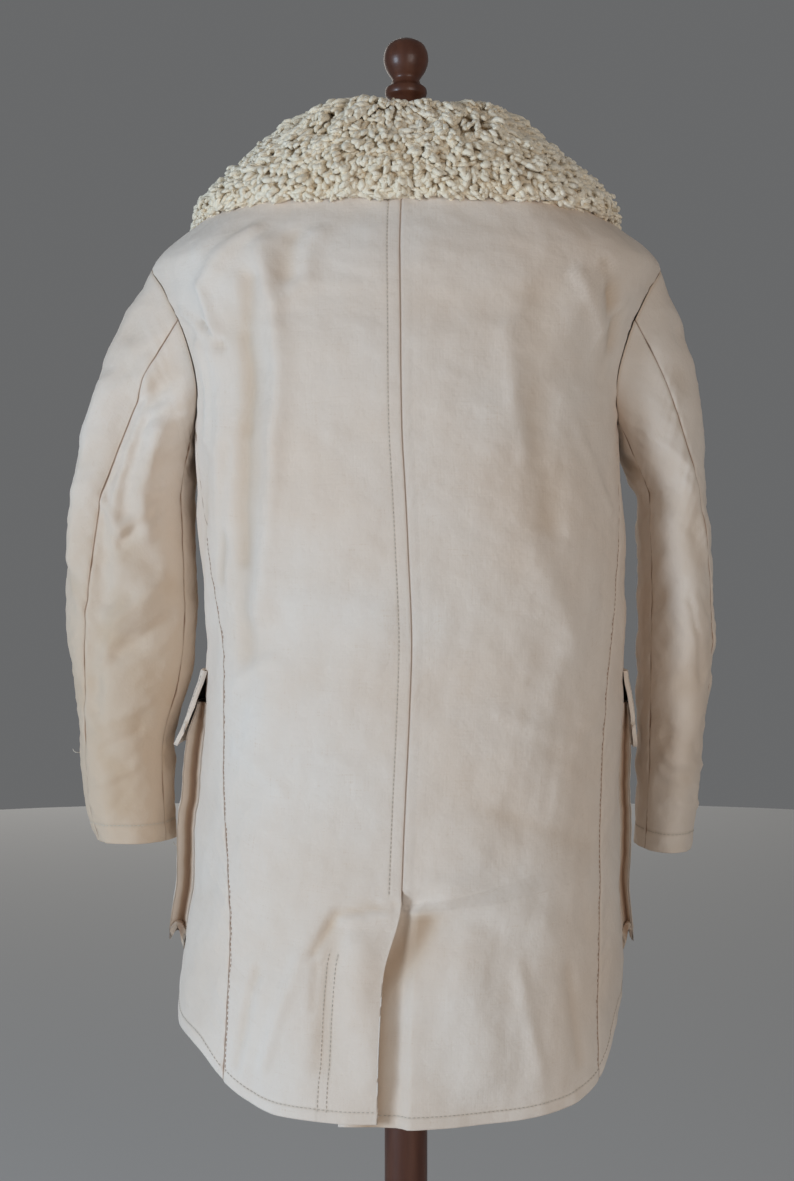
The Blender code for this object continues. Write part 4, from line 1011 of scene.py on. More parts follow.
class Thread:
    """Lays stitches, each a small bead of thread, and keeps them in one mesh."""

    SHARES = np.array([0.0, 0.18, 0.5, 0.82, 1.0])
    RISES = np.array([-0.35, 0.35, 0.62, 0.35, -0.35])
    SIZES = np.array([0.35, 0.9, 1.0, 0.9, 0.35])

    def __init__(self) -> None:
        """Starts with no stitch."""
        self.tubes = TubeMesh()

    def sew(self, line: Array, normals: Array, row: StitchRow) -> None:
        """Lays stitches along a line on the cloth.

        Args:
            line: Points along the cloth.
            normals: The cloth's normals there.
            row: The stitches' size and pitch.
        """
        walked = walk(line)
        starts = np.arange(row.pitch, walked[-1] - row.pitch, row.pitch)
        if not len(starts):
            return
        at = starts[:, None] + self.SHARES * row.length
        up = unit(on_line(at, walked, normals))
        centre = on_line(at, walked, line) + up * (self.RISES[:, None] * row.thickness)
        self.tubes.add(tube(centre, up, self.SIZES[None] * row.thickness / 2, 5))

    def stitch(self, patch: ClothPatch, edge: Edge, row: StitchRow, skip: Pair = (0.0, 0.0)) -> None:
        """Presses a row's groove in along an edge and lays its stitches."""
        row.draw(patch, edge)
        self.sew(*patch.line_beside(edge, row.distance, skip), row)


@dataclass(frozen=True)
class SleeveCut:
    """The sizes of one hanging sleeve."""

    side: Side
    twist: float
    # How strongly painted shade darkens the lower sleeve.
    soil: float
    rings: tuple[SleeveRing, ...]
    folds: tuple[Fold, ...]


LEFT_SLEEVE = SleeveCut(
    side=Side.LEFT,
    twist=42.0,
    soil=0.8,
    rings=table(
        SleeveRing,
        (1.15, 0.288, -0.004, 0.064, 0.066), (1.08, 0.289, -0.008, 0.0675, 0.064),
        (1.0, 0.2895, -0.013, 0.0675, 0.062), (0.945, 0.2915, -0.018, 0.06, 0.06),
        (0.9, 0.2965, -0.022, 0.05, 0.058), (0.86, 0.297, -0.026, 0.048, 0.055),
        (0.825, 0.295, -0.029, 0.0465, 0.053), (0.786, 0.289, -0.031, 0.042, 0.05),
    ),
    folds=table(
        Fold,
        (108, 1.24, 112, 1.04, 0.013, -0.01), (118, 1.04, 122, 0.93, 0.013, -0.006),
        (55, 1.06, 95, 1.02, 0.01, 0.007), (50, 1.02, 95, 0.985, 0.01, -0.007),
        (75, 1.21, 70, 1.11, 0.01, 0.0075), (92, 1.25, 88, 1.13, 0.01, -0.006),
        (140, 1.26, 146, 1.08, 0.012, 0.006),
        (112, 1.14, 92, 1.112, 0.0055, 0.0048), (92, 1.112, 62, 1.14, 0.0055, 0.0048),
        (112, 1.124, 92, 1.098, 0.005, -0.0042), (62, 1.128, 92, 1.098, 0.005, -0.0042),
        (60, 1.245, 96, 1.225, 0.006, 0.0022), (130, 1.3, 100, 1.26, 0.008, 0.0026),
        (150, 1.06, 118, 1.012, 0.007, 0.0022), (60, 0.935, 100, 0.915, 0.005, 0.002),
        (66, 0.905, 112, 0.884, 0.005, -0.0022), (140, 0.93, 112, 0.9, 0.005, 0.0018),
        (70, 0.866, 120, 0.85, 0.0045, 0.0018),
    ),
)
RIGHT_SLEEVE = SleeveCut(
    side=Side.RIGHT,
    twist=62.0,
    soil=0.2,
    rings=table(
        SleeveRing,
        (1.15, 0.279, -0.004, 0.0345, 0.083), (1.08, 0.283, -0.008, 0.0355, 0.084),
        (1.0, 0.285, -0.013, 0.037, 0.083), (0.945, 0.2835, -0.018, 0.035, 0.08),
        (0.9, 0.2815, -0.022, 0.0325, 0.077), (0.86, 0.2805, -0.026, 0.0315, 0.074),
        (0.825, 0.2785, -0.029, 0.03, 0.07), (0.779, 0.2745, -0.031, 0.028, 0.066),
    ),
    folds=table(
        Fold,
        (60, 0.905, 120, 0.89, 0.009, -0.003), (150, 1.0, 190, 0.985, 0.011, 0.0035),
        (50, 0.85, 130, 0.835, 0.008, -0.003),
        (70, 1.205, 110, 1.175, 0.008, 0.002), (120, 1.12, 150, 1.01, 0.008, 0.0022),
        (90, 1.04, 120, 0.96, 0.007, -0.002), (60, 0.88, 150, 0.868, 0.0042, 0.0022),
        (60, 0.866, 150, 0.852, 0.004, -0.0022), (70, 0.838, 150, 0.826, 0.004, 0.002),
        (60, 0.822, 140, 0.812, 0.0038, -0.0018), (150, 0.96, 200, 0.93, 0.006, 0.0022),
    ),
)


@dataclass
class SleeveMaker:
    """Cuts a two-piece sleeve: a top sleeve, and an under sleeve that shows at the back."""

    panels: BodyPanels
    cap_shares: tuple[float, ...] = (0.0, 0.12, 0.27, 0.45, 0.65, 0.84)
    free_rows: int = 11
    cap_bulge: float = 0.016
    elbow_station: int = 4
    elbow_turn: float = 105.0
    under_width: float = 0.14
    top_width: float = 0.3
    cap_step: float = 0.036
    free_step: float = 0.0369
    metres_per_degree: float = 0.0011
    row_step: float = 0.004
    column_step: float = 0.0042

    def stations(self) -> Array:
        """Turns of the coarse columns all round."""
        panels = self.panels
        back = np.linspace(panels.armhole_join, 180.0, panels.back_stations + 1)
        front = np.linspace(panels.armhole_join, -180.0, panels.front_stations + 1)
        return np.concatenate([back, (front + 360.0)[::-1][1:]])

    def armhole(self, side: Side, turns: Array) -> tuple[Array, Array]:
        """The armhole's edge on the coat's outer surface, with the way into the hole."""
        panels, torso = self.panels, self.panels.torso
        angle, height = panels.armhole_at(turns)
        angle = side.value * angle
        points, normals = torso.surface(angle, height), torso.normal(angle, height)
        inward = torso.surface(side.value * panels.seam_angle, panels.armhole_middle()) - points
        return points, unit(inward - (inward * normals).sum(-1, keepdims=True) * normals)

    def ring(self, cut: SleeveCut, height: Array, turn: Array) -> Array:
        """Points of the hanging sleeve. Turn 0 faces the body, 90 the back and 180 outwards."""
        x, y, wide, deep = (
            read_column(cut.rings[::-1], "height", name, height) for name in SleeveRing._fields[1:]
        )
        across, along = np.cos(np.radians(turn)), np.sin(np.radians(turn))
        points = np.broadcast_arrays(cut.side.value * (x - wide * across), y + deep * along, height)
        return np.stack(points, axis=-1)

    def surface(self, cut: SleeveCut, rows: Array, turns: Array) -> tuple[Array, Array]:
        """The whole sleeve with its large folds, as points and normals.

        Args:
            cut: The sleeve's sizes.
            rows: Fractional rows of the coarse grid, from the armhole to the cuff.
            turns: The columns' turns, which the last one closes a full turn after the first.

        Returns:
            Points and outward normals, rows by columns.
        """
        caps = len(self.cap_shares)
        last = caps + self.free_rows - 1
        corners, inward = self.armhole(cut.side, turns)
        join = self.panels.armhole_join
        drift = np.interp(turns, [join, self.elbow_turn, join + 360.0], [0.0, 1.0, 0.0])
        turned = turns + cut.twist * ease((rows[:, None] - 1) / last) * drift
        share = read_smoothly(range(caps + 1), (*self.cap_shares, 1.0), rows)[:, None]
        top = cut.rings[0].height
        first_ring = self.ring(cut, top, turned)
        cap = (corners + inward * SEAM_GAP) * (1 - share[..., None]) + first_ring * share[..., None]
        bulge = self.cap_bulge * np.sin(np.pi * share) * (0.5 - 0.5 * np.cos(np.radians(turns)))
        cap = cap + bulge[..., None] * np.array([cut.side.value * 0.8, 0.0, 0.6])
        down = np.clip((rows - caps) / (self.free_rows - 1), 0.0, 1.0)[:, None]
        free = self.ring(cut, top + (cut.rings[-1].height - top) * down, turned)
        grid = np.where((rows < caps)[:, None, None], cap, free)
        rise = fold_rise(cut.folds, turned, grid[..., 2], self.metres_per_degree)
        rise = rise * ease((rows[:, None] - 0.5) / 2.0)
        grid = grid + self.normals(cut.side, grid) * rise[..., None]
        return grid, self.normals(cut.side, grid)

    @staticmethod
    def normals(side: Side, grid: Array) -> Array:
        """Outward normals. The last column is the first one again, a full turn on."""
        wrapped = np.concatenate([grid[:, -2:-1], grid, grid[:, 1:2]], axis=1)
        around = np.gradient(wrapped, axis=1)[:, 1:-1]
        return unit(np.cross(around, np.gradient(grid, axis=0))) * side.value

    def dense_rows(self) -> Array:
        """Fractional rows, close together at the armhole and at the cuff."""
        caps, free = len(self.cap_shares), self.free_rows - 1
        walked = running([self.cap_step] * caps + [self.free_step] * free)
        at = close_to_edges(walked[-1], self.row_step) * walked[-1]
        return np.interp(at, walked, np.arange(len(walked)))

    def cut_pieces(self, cut: SleeveCut) -> tuple[ClothPatch, ClothPatch]:
        """The under sleeve and the top sleeve as dense cloth."""
        turns, patches = self.stations(), []
        first, elbow, last = turns[0], turns[self.elbow_station], turns[-1]
        under_turns = first + (elbow - first) * close_to_edges(self.under_width, self.column_step)
        top_turns = elbow + (last - elbow) * close_to_edges(self.top_width, self.column_step)
        outer, normals = self.surface(cut, self.dense_rows(), np.concatenate([under_turns, top_turns[1:]]))
        split = len(under_turns) - 1
        for name, part in (("under_sleeve", slice(0, split + 1)), ("top_sleeve", slice(split, None))):
            grid = outer[:, part].copy()
            gap = unit(np.gradient(grid, axis=1)) * SEAM_GAP / 2
            grid[:, 0] += gap[:, 0]
            grid[:, -1] -= gap[:, -1]
            patches.append(ClothPatch(f"{name}_{cut.side.label}_cloth", grid, normals[:, part].copy()))
        return patches[0], patches[1]


class Graph:
    """A tree of shader nodes, with short ways to add to it."""

    def __init__(self, tree: Tree) -> None:
        """Adds to this tree."""
        self.tree = tree

    def plug(self, into: Socket, value: object) -> None:
        """Links a socket to an input, or sets the input to a constant."""
        if isinstance(value, Socket):
            self.tree.links.new(value, into)
        else:
            into.default_value = value

    def add(self, kind: str, **values: object) -> Node:
        """A new node with named inputs set. An underscore stands for a space."""
        node = self.tree.nodes.new(f"ShaderNode{kind}")
        for name, value in values.items():
            self.plug(node.inputs[name.replace("_", " ")], value)
        return node

    def math(self, operation: str, *values: object, clamp: bool = False) -> Socket:
        """A math node whose inputs are sockets or numbers."""
        node = self.add("Math")
        node.operation, node.use_clamp = operation, clamp
        for slot, value in enumerate(values):
            self.plug(node.inputs[slot], value)
        return node.outputs[0]

    def noise(self, where: Socket, scale: float, detail: float) -> Socket:
        """Soft noise of about 0 to 1 at a place."""
        return self.add("TexNoise", Vector=where, Scale=scale, Detail=detail).outputs[0]

    def scaled(self, where: Socket, scale: Triple) -> Socket:
        """A place stretched along its axes."""
        node = self.add("VectorMath")
        node.operation = "MULTIPLY"
        for slot, value in enumerate((where, scale)):
            self.plug(node.inputs[slot], value)
        return node.outputs[0]


class Effect(Graph):
    """A node group that gives masks or heights at a place, for the finishes to share."""

    def __init__(self, name: str) -> None:
        """Starts the group with its one input."""
        super().__init__(bpy.data.node_groups.new(name, "ShaderNodeTree"))
        self.tree.interface.new_socket("Place", in_out="INPUT", socket_type="NodeSocketVector")
        self.place = self.tree.nodes.new("NodeGroupInput").outputs["Place"]

    def parts(self) -> Sequence[Socket]:
        """The place's three coordinates."""
        return self.add("SeparateXYZ", Vector=self.place).outputs

    def finish(self, **outputs: Socket) -> Tree:
        """Gives the group an output for each named socket."""
        for name in outputs:
            self.tree.interface.new_socket(name, in_out="OUTPUT", socket_type="NodeSocketFloat")
        out = self.tree.nodes.new("NodeGroupOutput")
        for name, socket in outputs.items():
            self.plug(out.inputs[name], socket)
        return self.tree


def build_weave() -> Tree:
    """Plain weave of slubby yarn, in cloth metres: Height and Slub, both near 0 to 1."""
    group = Effect("weave")
    yarn_pitches, parts = (0.00105, 0.00115), group.parts()
    warp, weft = (
        group.math("SINE", group.math("MULTIPLY", part, 2 * math.pi / pitch))
        for part, pitch in zip(parts, yarn_pitches)
    )
    checks = group.math("MULTIPLY_ADD", group.math("MULTIPLY", warp, weft), 0.5, 0.5)
    warp_slub = group.noise(group.scaled(group.place, (1.0, 0.05, 1.0)), 620.0, 2.0)
    weft_slub = group.noise(group.scaled(group.place, (0.05, 1.0, 1.0)), 560.0, 2.0)
    slub = group.math("MULTIPLY", group.math("ADD", warp_slub, weft_slub), 0.5)
    height = group.math("MULTIPLY_ADD", slub, 0.75, group.math("MULTIPLY", checks, 0.25))
    return group.finish(Height=height, Slub=slub)


def build_mottle() -> Tree:
    """Stains, cloudy shade and small relief of worn stuff, each at its own scale."""
    group = Effect("mottle")
    patch = group.noise(group.scaled(group.place, (1.0, 1.0, 0.55)), 9.0, 5.0)
    stain = group.math("MULTIPLY", group.math("SUBTRACT", patch, 0.56), 5.0, clamp=True)
    scales = {"Cloud": (5.5, 4.0), "Rumple": (46.0, 3.0), "Curl": (260.0, 3.0), "Fuzz": (1100.0, 2.0)}
    noises = {name: group.noise(group.place, *sizes) for name, sizes in scales.items()}
    return group.finish(Stain=stain, **noises)


def build_grain() -> Tree:
    """Long streaks of wood or fibre along Z: Streak and Fine."""
    group, stretch = Effect("grain"), 0.12
    x, y, z = group.parts()
    long = group.add("CombineXYZ", X=x, Y=y, Z=group.math("MULTIPLY", z, stretch)).outputs[0]
    return group.finish(Streak=group.noise(long, 60.0, 5.0), Fine=group.noise(long, 420.0, 2.0))


@dataclass(frozen=True)
class Effects:
    """The node groups that the finishes share."""

    weave: Tree = field(default_factory=build_weave)
    mottle: Tree = field(default_factory=build_mottle)
    grain: Tree = field(default_factory=build_grain)


class Recipe(Graph):
    """A material being mixed: its nodes, and its one Principled BSDF."""

    def __init__(self, name: str, **values: object) -> None:
        """Starts a material whose constant values sit on the shader's own sockets."""
        self.material = bpy.data.materials.new(name)
        self.material.use_nodes = True
        super().__init__(self.material.node_tree)
        self.shader = self.tree.nodes["Principled BSDF"]
        self.set(Specular_IOR_Level=0.3, **values)

    def set(self, **values: object) -> None:
        """Sets the shader's named inputs. An underscore stands for a space."""
        for name, value in values.items():
            self.plug(self.shader.inputs[name.replace("_", " ")], value)

    def place(self) -> Socket:
        """The object's own coordinates in metres."""
        return self.add("TexCoord").outputs["Object"]

    def cloth(self) -> Socket:
        """The cloth's coordinates in metres, across and along it."""
        node = self.add("UVMap")
        node.uv_map = "cloth"
        return node.outputs[0]

    def marks(self) -> Sequence[Socket]:
        """The three marks of the mesh."""
        colour = self.add("VertexColor")
        colour.layer_name = "marks"
        return list(self.add("SeparateColor", Color=colour.outputs["Color"]).outputs)[:3]

    def effect(self, tree: Tree, place: Socket) -> dict[str, Socket]:
        """The outputs of a shared effect at a place, by name."""
        node = self.add("Group")
        node.node_tree = tree
        self.plug(node.inputs["Place"], place)
        return dict(node.outputs.items())

    def ramp(self, value: Socket, low: float, high: float, to: Pair = (0.0, 1.0)) -> Socket:
        """A value stretched from a range to another, and held inside it."""
        ends = dict(From_Min=low, From_Max=high, To_Min=to[0], To_Max=to[1])
        return self.add("MapRange", Value=value, **ends).outputs[0]

    def tint(self, first: object, second: Colour, mask: Socket, span: Pair, to: Pair = (0.0, 1.0)) -> Socket:
        """A colour mixed with a second one as far as a mask climbs over a span."""
        node = self.add("Mix")
        node.data_type = "RGBA"
        for slot, value in ((6, first), (7, second), (0, self.ramp(mask, *span, to))):
            self.plug(node.inputs[slot], (*value, 1.0) if isinstance(value, tuple) else value)
        return node.outputs[2]

    def relief(self, *layers: tuple[Socket, float]) -> None:
        """Stacks bumps, each a height from 0 to 1 and its depth in metres."""
        lower = {}
        for height, depth in layers:
            lower = {"Normal": self.add("Bump", Distance=depth, Height=height, **lower).outputs[0]}
        self.set(**lower)


@dataclass(frozen=True)
class CanvasFinish:
    """Worn, undyed cotton canvas with stains, dark seam lines, and painted shade in hollows, grooves and
    seams.
    """

    name: str = "worn_canvas"
    colour: Colour = (0.78, 0.645, 0.53)
    worn: Colour = (0.81, 0.715, 0.625)
    stain: Colour = (0.66, 0.5, 0.36)
    # Painted shade for fold troughs, hollows, recesses and the lower sleeves.
    fold: Colour = (0.6, 0.435, 0.29)
    # Seam lines, part seam colour and part painted shadow; also painted shadow in the vent and pocket
    # gussets.
    seam: Colour = (0.43, 0.27, 0.18)
    # Painted shade in the topstitch grooves.
    stitch: Colour = (0.52, 0.42, 0.32)
    weave_depth: float = 0.00028
    rumple_depth: float = 0.0016

    def make(self, effects: Effects) -> Material:
        """Mixes the material."""
        recipe = Recipe(self.name, Roughness=0.9, Sheen_Weight=0.08)
        seam, stitch, fold = recipe.marks()
        weave = recipe.effect(effects.weave, recipe.cloth())
        mottle = recipe.effect(effects.mottle, recipe.place())
        base = recipe.tint(self.colour, self.worn, mottle["Cloud"], (0.35, 0.65))
        for colour, mask, span, most in (
            (self.stain, mottle["Stain"], (0.0, 1.0), 0.22),
            (self.stain, weave["Slub"], (0.42, 0.3), 0.35),
            # Painted shade from the fold, stitch and seam marks, in hollows, grooves and seams.
            (self.fold, fold, (0.0, 1.0), 0.85),
            (self.stitch, stitch, (0.2, 1.0), 0.55),
            (self.seam, seam, (0.35, 0.95), 0.9),
        ):
            base = recipe.tint(base, colour, mask, span, (0.0, most))
        recipe.set(Base_Color=base)
        recipe.relief((mottle["Rumple"], self.rumple_depth), (weave["Height"], self.weave_depth))
        return recipe.material


@dataclass(frozen=True)
class WoolFinish:
    """Cream curly wool, with painted brown shade at its roots and between its ridges."""

    name: str = "curly_wool"
    tip: Colour = (0.96, 0.88, 0.74)
    yellowed: Colour = (0.92, 0.79, 0.59)
    # Painted shade colour at the roots and between the ridges of locks.
    root: Colour = (0.78, 0.61, 0.4)
    curl_depth: float = 0.0014
    fibre_depth: float = 0.0006

    def make(self, effects: Effects) -> Material:
        """Mixes the material."""
        recipe = Recipe(self.name, Roughness=0.85, Sheen_Weight=0.25)
        along, chance, valley_shade = recipe.marks()
        mottle = recipe.effect(effects.mottle, recipe.place())
        base = recipe.tint(self.tip, self.yellowed, mottle["Cloud"], (0.35, 0.7), (0.05, 0.75))
        base = recipe.tint(base, self.yellowed, chance, (0.0, 1.0), (0.0, 0.55))
        # Painted shade between ridges and at the roots of the locks.
        base = recipe.tint(base, self.root, valley_shade, (0.35, 1.0), (0.0, 0.5))
        recipe.set(Base_Color=recipe.tint(base, self.root, along, (0.4, 0.0), (0.0, 0.8)))
        recipe.relief((mottle["Curl"], self.curl_depth), (mottle["Fuzz"], self.fibre_depth))
        return recipe.material


class Mask(Enum):
    """The shared masks that mix two tones or stand as relief."""

    CLOUD = "Cloud"
    RUMPLE = "Rumple"
    STREAK = "Streak"
    WEAVE = "Height"
    SLUB = "Slub"
    FINE = "Fine"


@dataclass(frozen=True)
class TwoToneFinish:
    """A finish of two tones that a mask mixes, with one relief."""

    name: str
    colour: Colour
    second: Colour
    mask: Mask
    span: Pair
    roughness: float
    sheen: float = 0.0
    coat: float = 0.0
    coat_roughness: float = 0.03
    relief_mask: Mask = Mask.FINE
    depth: float = 0.0002
    polish: Pair | None = None

    def make(self, effects: Effects) -> Material:
        """Mixes the material."""
        recipe = Recipe(self.name, Roughness=self.roughness, Sheen_Weight=self.sheen)
        recipe.set(Coat_Weight=self.coat, Coat_Roughness=self.coat_roughness)
        place, masks = recipe.place(), {}
        for tree in (effects.mottle, effects.grain, effects.weave):
            masks.update(recipe.effect(tree, place))
        recipe.set(Base_Color=recipe.tint(self.colour, self.second, masks[self.mask.value], self.span))
        if self.polish:
            recipe.set(Roughness=recipe.ramp(masks["Fine"], 0.3, 0.7, self.polish))
        recipe.relief((masks[self.relief_mask.value], self.depth))
        return recipe.material


# The ground's tan browns are painted shade deep between the locks.
PILE_GROUND = TwoToneFinish(
    "pile_ground", (0.7, 0.54, 0.35), (0.84, 0.72, 0.54), Mask.FINE, (0.35, 0.75),
    roughness=0.95, sheen=0.2, depth=0.002,
)
RUST_THREAD = TwoToneFinish(
    "rust_thread", (0.34, 0.185, 0.11), (0.45, 0.28, 0.18), Mask.CLOUD, (0.35, 0.7),
    roughness=0.75, sheen=0.2,
)
CREAM_THREAD = TwoToneFinish(
    "cream_thread", (0.62, 0.56, 0.48), (0.44, 0.37, 0.29), Mask.CLOUD, (0.35, 0.7),
    roughness=0.75, sheen=0.2,
)
PALE_BUTTON = TwoToneFinish(
    "pale_button", (0.64, 0.61, 0.56), (0.42, 0.36, 0.29), Mask.STREAK, (0.4, 0.75),
    roughness=0.32, coat=0.3, relief_mask=Mask.RUMPLE, polish=(0.25, 0.45),
)
FORM_LINEN = TwoToneFinish(
    "form_linen", (0.5, 0.42, 0.31), (0.33, 0.26, 0.175), Mask.SLUB, (0.52, 0.3),
    roughness=0.92, sheen=0.1, relief_mask=Mask.WEAVE, depth=0.0004,
)
VARNISHED_WOOD = TwoToneFinish(
    "varnished_wood", (0.06, 0.018, 0.01), (0.12, 0.042, 0.022), Mask.STREAK, (0.35, 0.7),
    roughness=0.4, coat=0.3, coat_roughness=0.25, relief_mask=Mask.STREAK, polish=(0.35, 0.55),
)


@dataclass(frozen=True)
class Palette:
    """The materials that the pieces take."""

    canvas: Material
    wool: Material
    pile: Material
    rust_thread: Material
    cream_thread: Material
    button: Material
    linen: Material
    wood: Material


def make_palette() -> Palette:
    """Mixes every material once."""
    effects = Effects()
    return Palette(
        canvas=CanvasFinish().make(effects),
        wool=WoolFinish().make(effects),
        pile=PILE_GROUND.make(effects),
        rust_thread=RUST_THREAD.make(effects),
        cream_thread=CREAM_THREAD.make(effects),
        button=PALE_BUTTON.make(effects),
        linen=FORM_LINEN.make(effects),
        wood=VARNISHED_WOOD.make(effects),
    )


@dataclass
class CanvasBody:
    """Back and fronts of the coat, with their seams, topstitching, hem and vent."""

    panels: BodyPanels
    palette: Palette
    seam: Seam = Seam(depth=0.0009)
    top_seam: Seam = Seam(depth=0.0006, half_width=0.0015, pucker=0.0004)
    centre_row: StitchRow = StitchRow(0.0125, groove=0.0003)
    hem_row: StitchRow = StitchRow(0.011)
    vent_rows: tuple[StitchRow, ...] = (StitchRow(0.048), StitchRow(0.0565, groove=0.0004))
    side_row: StitchRow = StitchRow(0.0022, length=0.0036, pitch=0.005)
    relief: Crumple = Crumple(7, 0.085, 0.0009)
    fine_relief: Crumple = Crumple(19, 0.026, 0.00024)
    free_row: StitchRow = StitchRow(0.008)
    full_shade_depth: float = 0.0085
    trough_depth: float = 0.003
    hem_width: float = 0.0095
    hem_rise: float = 0.0007
    centre_row_top: float = 1.44
    fine_folds: tuple[Fold, ...] = table(
        Fold,
        (15.7, 1.393, 18, 1.347, 0.0065, 0.0042), (18, 1.347, 26, 1.323, 0.006, 0.0038),
        (21, 1.39, 23, 1.352, 0.008, -0.004), (32, 1.398, 49, 1.347, 0.008, 0.0056),
        (49, 1.347, 48.6, 1.302, 0.007, 0.0062), (62, 1.327, 50, 1.297, 0.005, 0.0046),
        (53, 1.312, 47, 1.287, 0.004, -0.005), (57, 1.29, 60, 1.2, 0.007, 0.0056),
        (2, 0.755, 13.5, 0.748, 0.0036, -0.004), (13.5, 0.748, 18.5, 0.711, 0.0042, -0.004),
        (3, 0.748, 13, 0.74, 0.005, 0.0016), (17.5, 0.7, 17.3, 0.66, 0.003, -0.0018),
        (-36, 1.357, -48.5, 1.311, 0.007, 0.003), (-56, 1.334, -50, 1.3, 0.0055, 0.003),
        (50, 1.19, 58, 1.06, 0.006, -0.003), (60, 1.18, 70, 1.1, 0.005, -0.0025),
        (36, 0.985, 52, 0.96, 0.006, 0.0018), (30, 0.86, 50, 0.9, 0.007, 0.0018),
        (22, 0.7, 30, 0.6, 0.007, 0.0022), (34, 0.69, 38, 0.6, 0.006, -0.002),
        (-44, 1.37, -52, 1.33, 0.005, -0.0025), (-20, 1.3, -26, 1.18, 0.008, 0.0016),
        (-46, 1.2, -60, 1.13, 0.007, 0.002), (-18, 0.93, -44, 0.9, 0.008, 0.0018),
        (-14, 0.845, -50, 0.8, 0.008, -0.0016), (-24, 0.7, -30, 0.6, 0.007, 0.0022),
        (-40, 0.69, -44, 0.6, 0.007, -0.0022),
    )

    def build(self) -> None:
        """Makes the four panels and their thread."""
        rust, cream = Thread(), Thread()
        for side in Side:
            for front in (False, True):
                patch = self.panels.patch(side, front)
                self.shape(patch)
                self.sew(patch, side, front, rust, cream)
                place_sheet(patch, self.palette.canvas)
        rust.tubes.make("rust_stitches", self.palette.rust_thread, "canvas")
        cream.tubes.make("cream_stitches", self.palette.cream_thread, "canvas")

    def shape(self, patch: ClothPatch) -> None:
        """Adds the fine folds, the cloth's soft unevenness, and painted shade in its hollows."""
        metres = self.panels.torso.metres_per_degree
        spot = (patch.angle * metres, patch.height)
        fine, large = (
            fold_rise(folds, patch.angle, patch.height, metres)
            for folds in (self.fine_folds, self.panels.torso.folds)
        )
        calm = 0.35 + 0.65 * ease(patch.from_sides() / 0.03)
        relief = self.relief.at(*spot)
        patch.push(fine + (relief + self.fine_relief.at(*spot)) * calm)
        # Painted shade, darker the deeper the cloth lies in a fold or hollow.
        dip = -(0.25 * relief + fine + 0.7 * large) / self.full_shade_depth
        patch.shade(Mark.FOLD, np.clip(dip, 0.0, 0.9))

    def sew(self, patch: ClothPatch, side: Side, front: bool, rust: Thread, cream: Thread) -> None:
        """Draws the seams in and lays the stitches."""
        seed = 11 * (2 + side.value) + front
        if front:
            self.seam.sew(patch, Edge.LAST_COLUMN, seed)
            cream.stitch(patch, Edge.FIRST_COLUMN, self.free_row, (0.01, 0.02))
        else:
            closed = ease((patch.height - self.panels.vent_top) / 0.012)
            self.top_seam.sew(patch, Edge.FIRST_COLUMN, seed, closed)
            self.seam.sew(patch, Edge.LAST_COLUMN, seed + 3)
            if side is Side.LEFT:
                self.centre_row.draw(patch, Edge.FIRST_COLUMN, closed)
                self.draw_vent(patch, cream)
            else:
                self.sink_underlap(patch)
            line = patch.line_beside(Edge.LAST_COLUMN, self.side_row.distance, (0.01, 0.45))
            rust.sew(*line, self.side_row)
        self.hem_row.draw(patch, Edge.FIRST_ROW)
        turned_up = 1.0 - ease((patch.distance_to(Edge.FIRST_ROW) - self.hem_width) / 0.003)
        patch.push(self.hem_rise * turned_up)
        cream.sew(*patch.line_beside(Edge.FIRST_ROW, self.hem_row.distance), self.hem_row)

    def sink_underlap(self, patch: ClothPatch) -> None:
        """Lets the cloth in the open vent fall back in a trough, with painted shadow in it."""
        drop = self.panels.vent_top - patch.height
        beside = patch.angle - (7.0 * ease(drop / 0.1) - 2.5)
        trough = ease(drop / 0.015) * bump(beside, 3.4)
        patch.push(-self.trough_depth * trough)
        # Painted shadow in the recess under the left flap, in the fold and seam tints.
        patch.shade(Mark.FOLD, trough)
        patch.shade(Mark.SEAM, 0.6 * trough)

    def draw_vent(self, patch: ClothPatch, thread: Thread) -> None:
        """The vent facing's stitch lines, and the centre seam's row above them."""
        top = self.panels.vent_top
        below = ease((top - 0.03 - patch.height) / 0.02)
        for row in self.vent_rows:
            row.draw(patch, Edge.FIRST_COLUMN, below)
        spans = [(row, 0.0, top - 0.04) for row in self.vent_rows]
        for row, low, high in (*spans, (self.centre_row, top + 0.004, self.centre_row_top)):
            line, normals = patch.line_beside(Edge.FIRST_COLUMN, row.distance)
            picked = (line[:, 2] > low) & (line[:, 2] < high)
            thread.sew(line[picked], normals[picked], row)


def place_sheet(patch: ClothPatch, material: Material) -> Object:
    """Makes a patch stand for its node, and logs its size in points."""
    obj = patch.mesh_object(material)
    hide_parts(patch.name.removesuffix("_cloth"))
    log.info("%s: %d by %d points", obj.name, *patch.outer.shape[:2])
    return obj


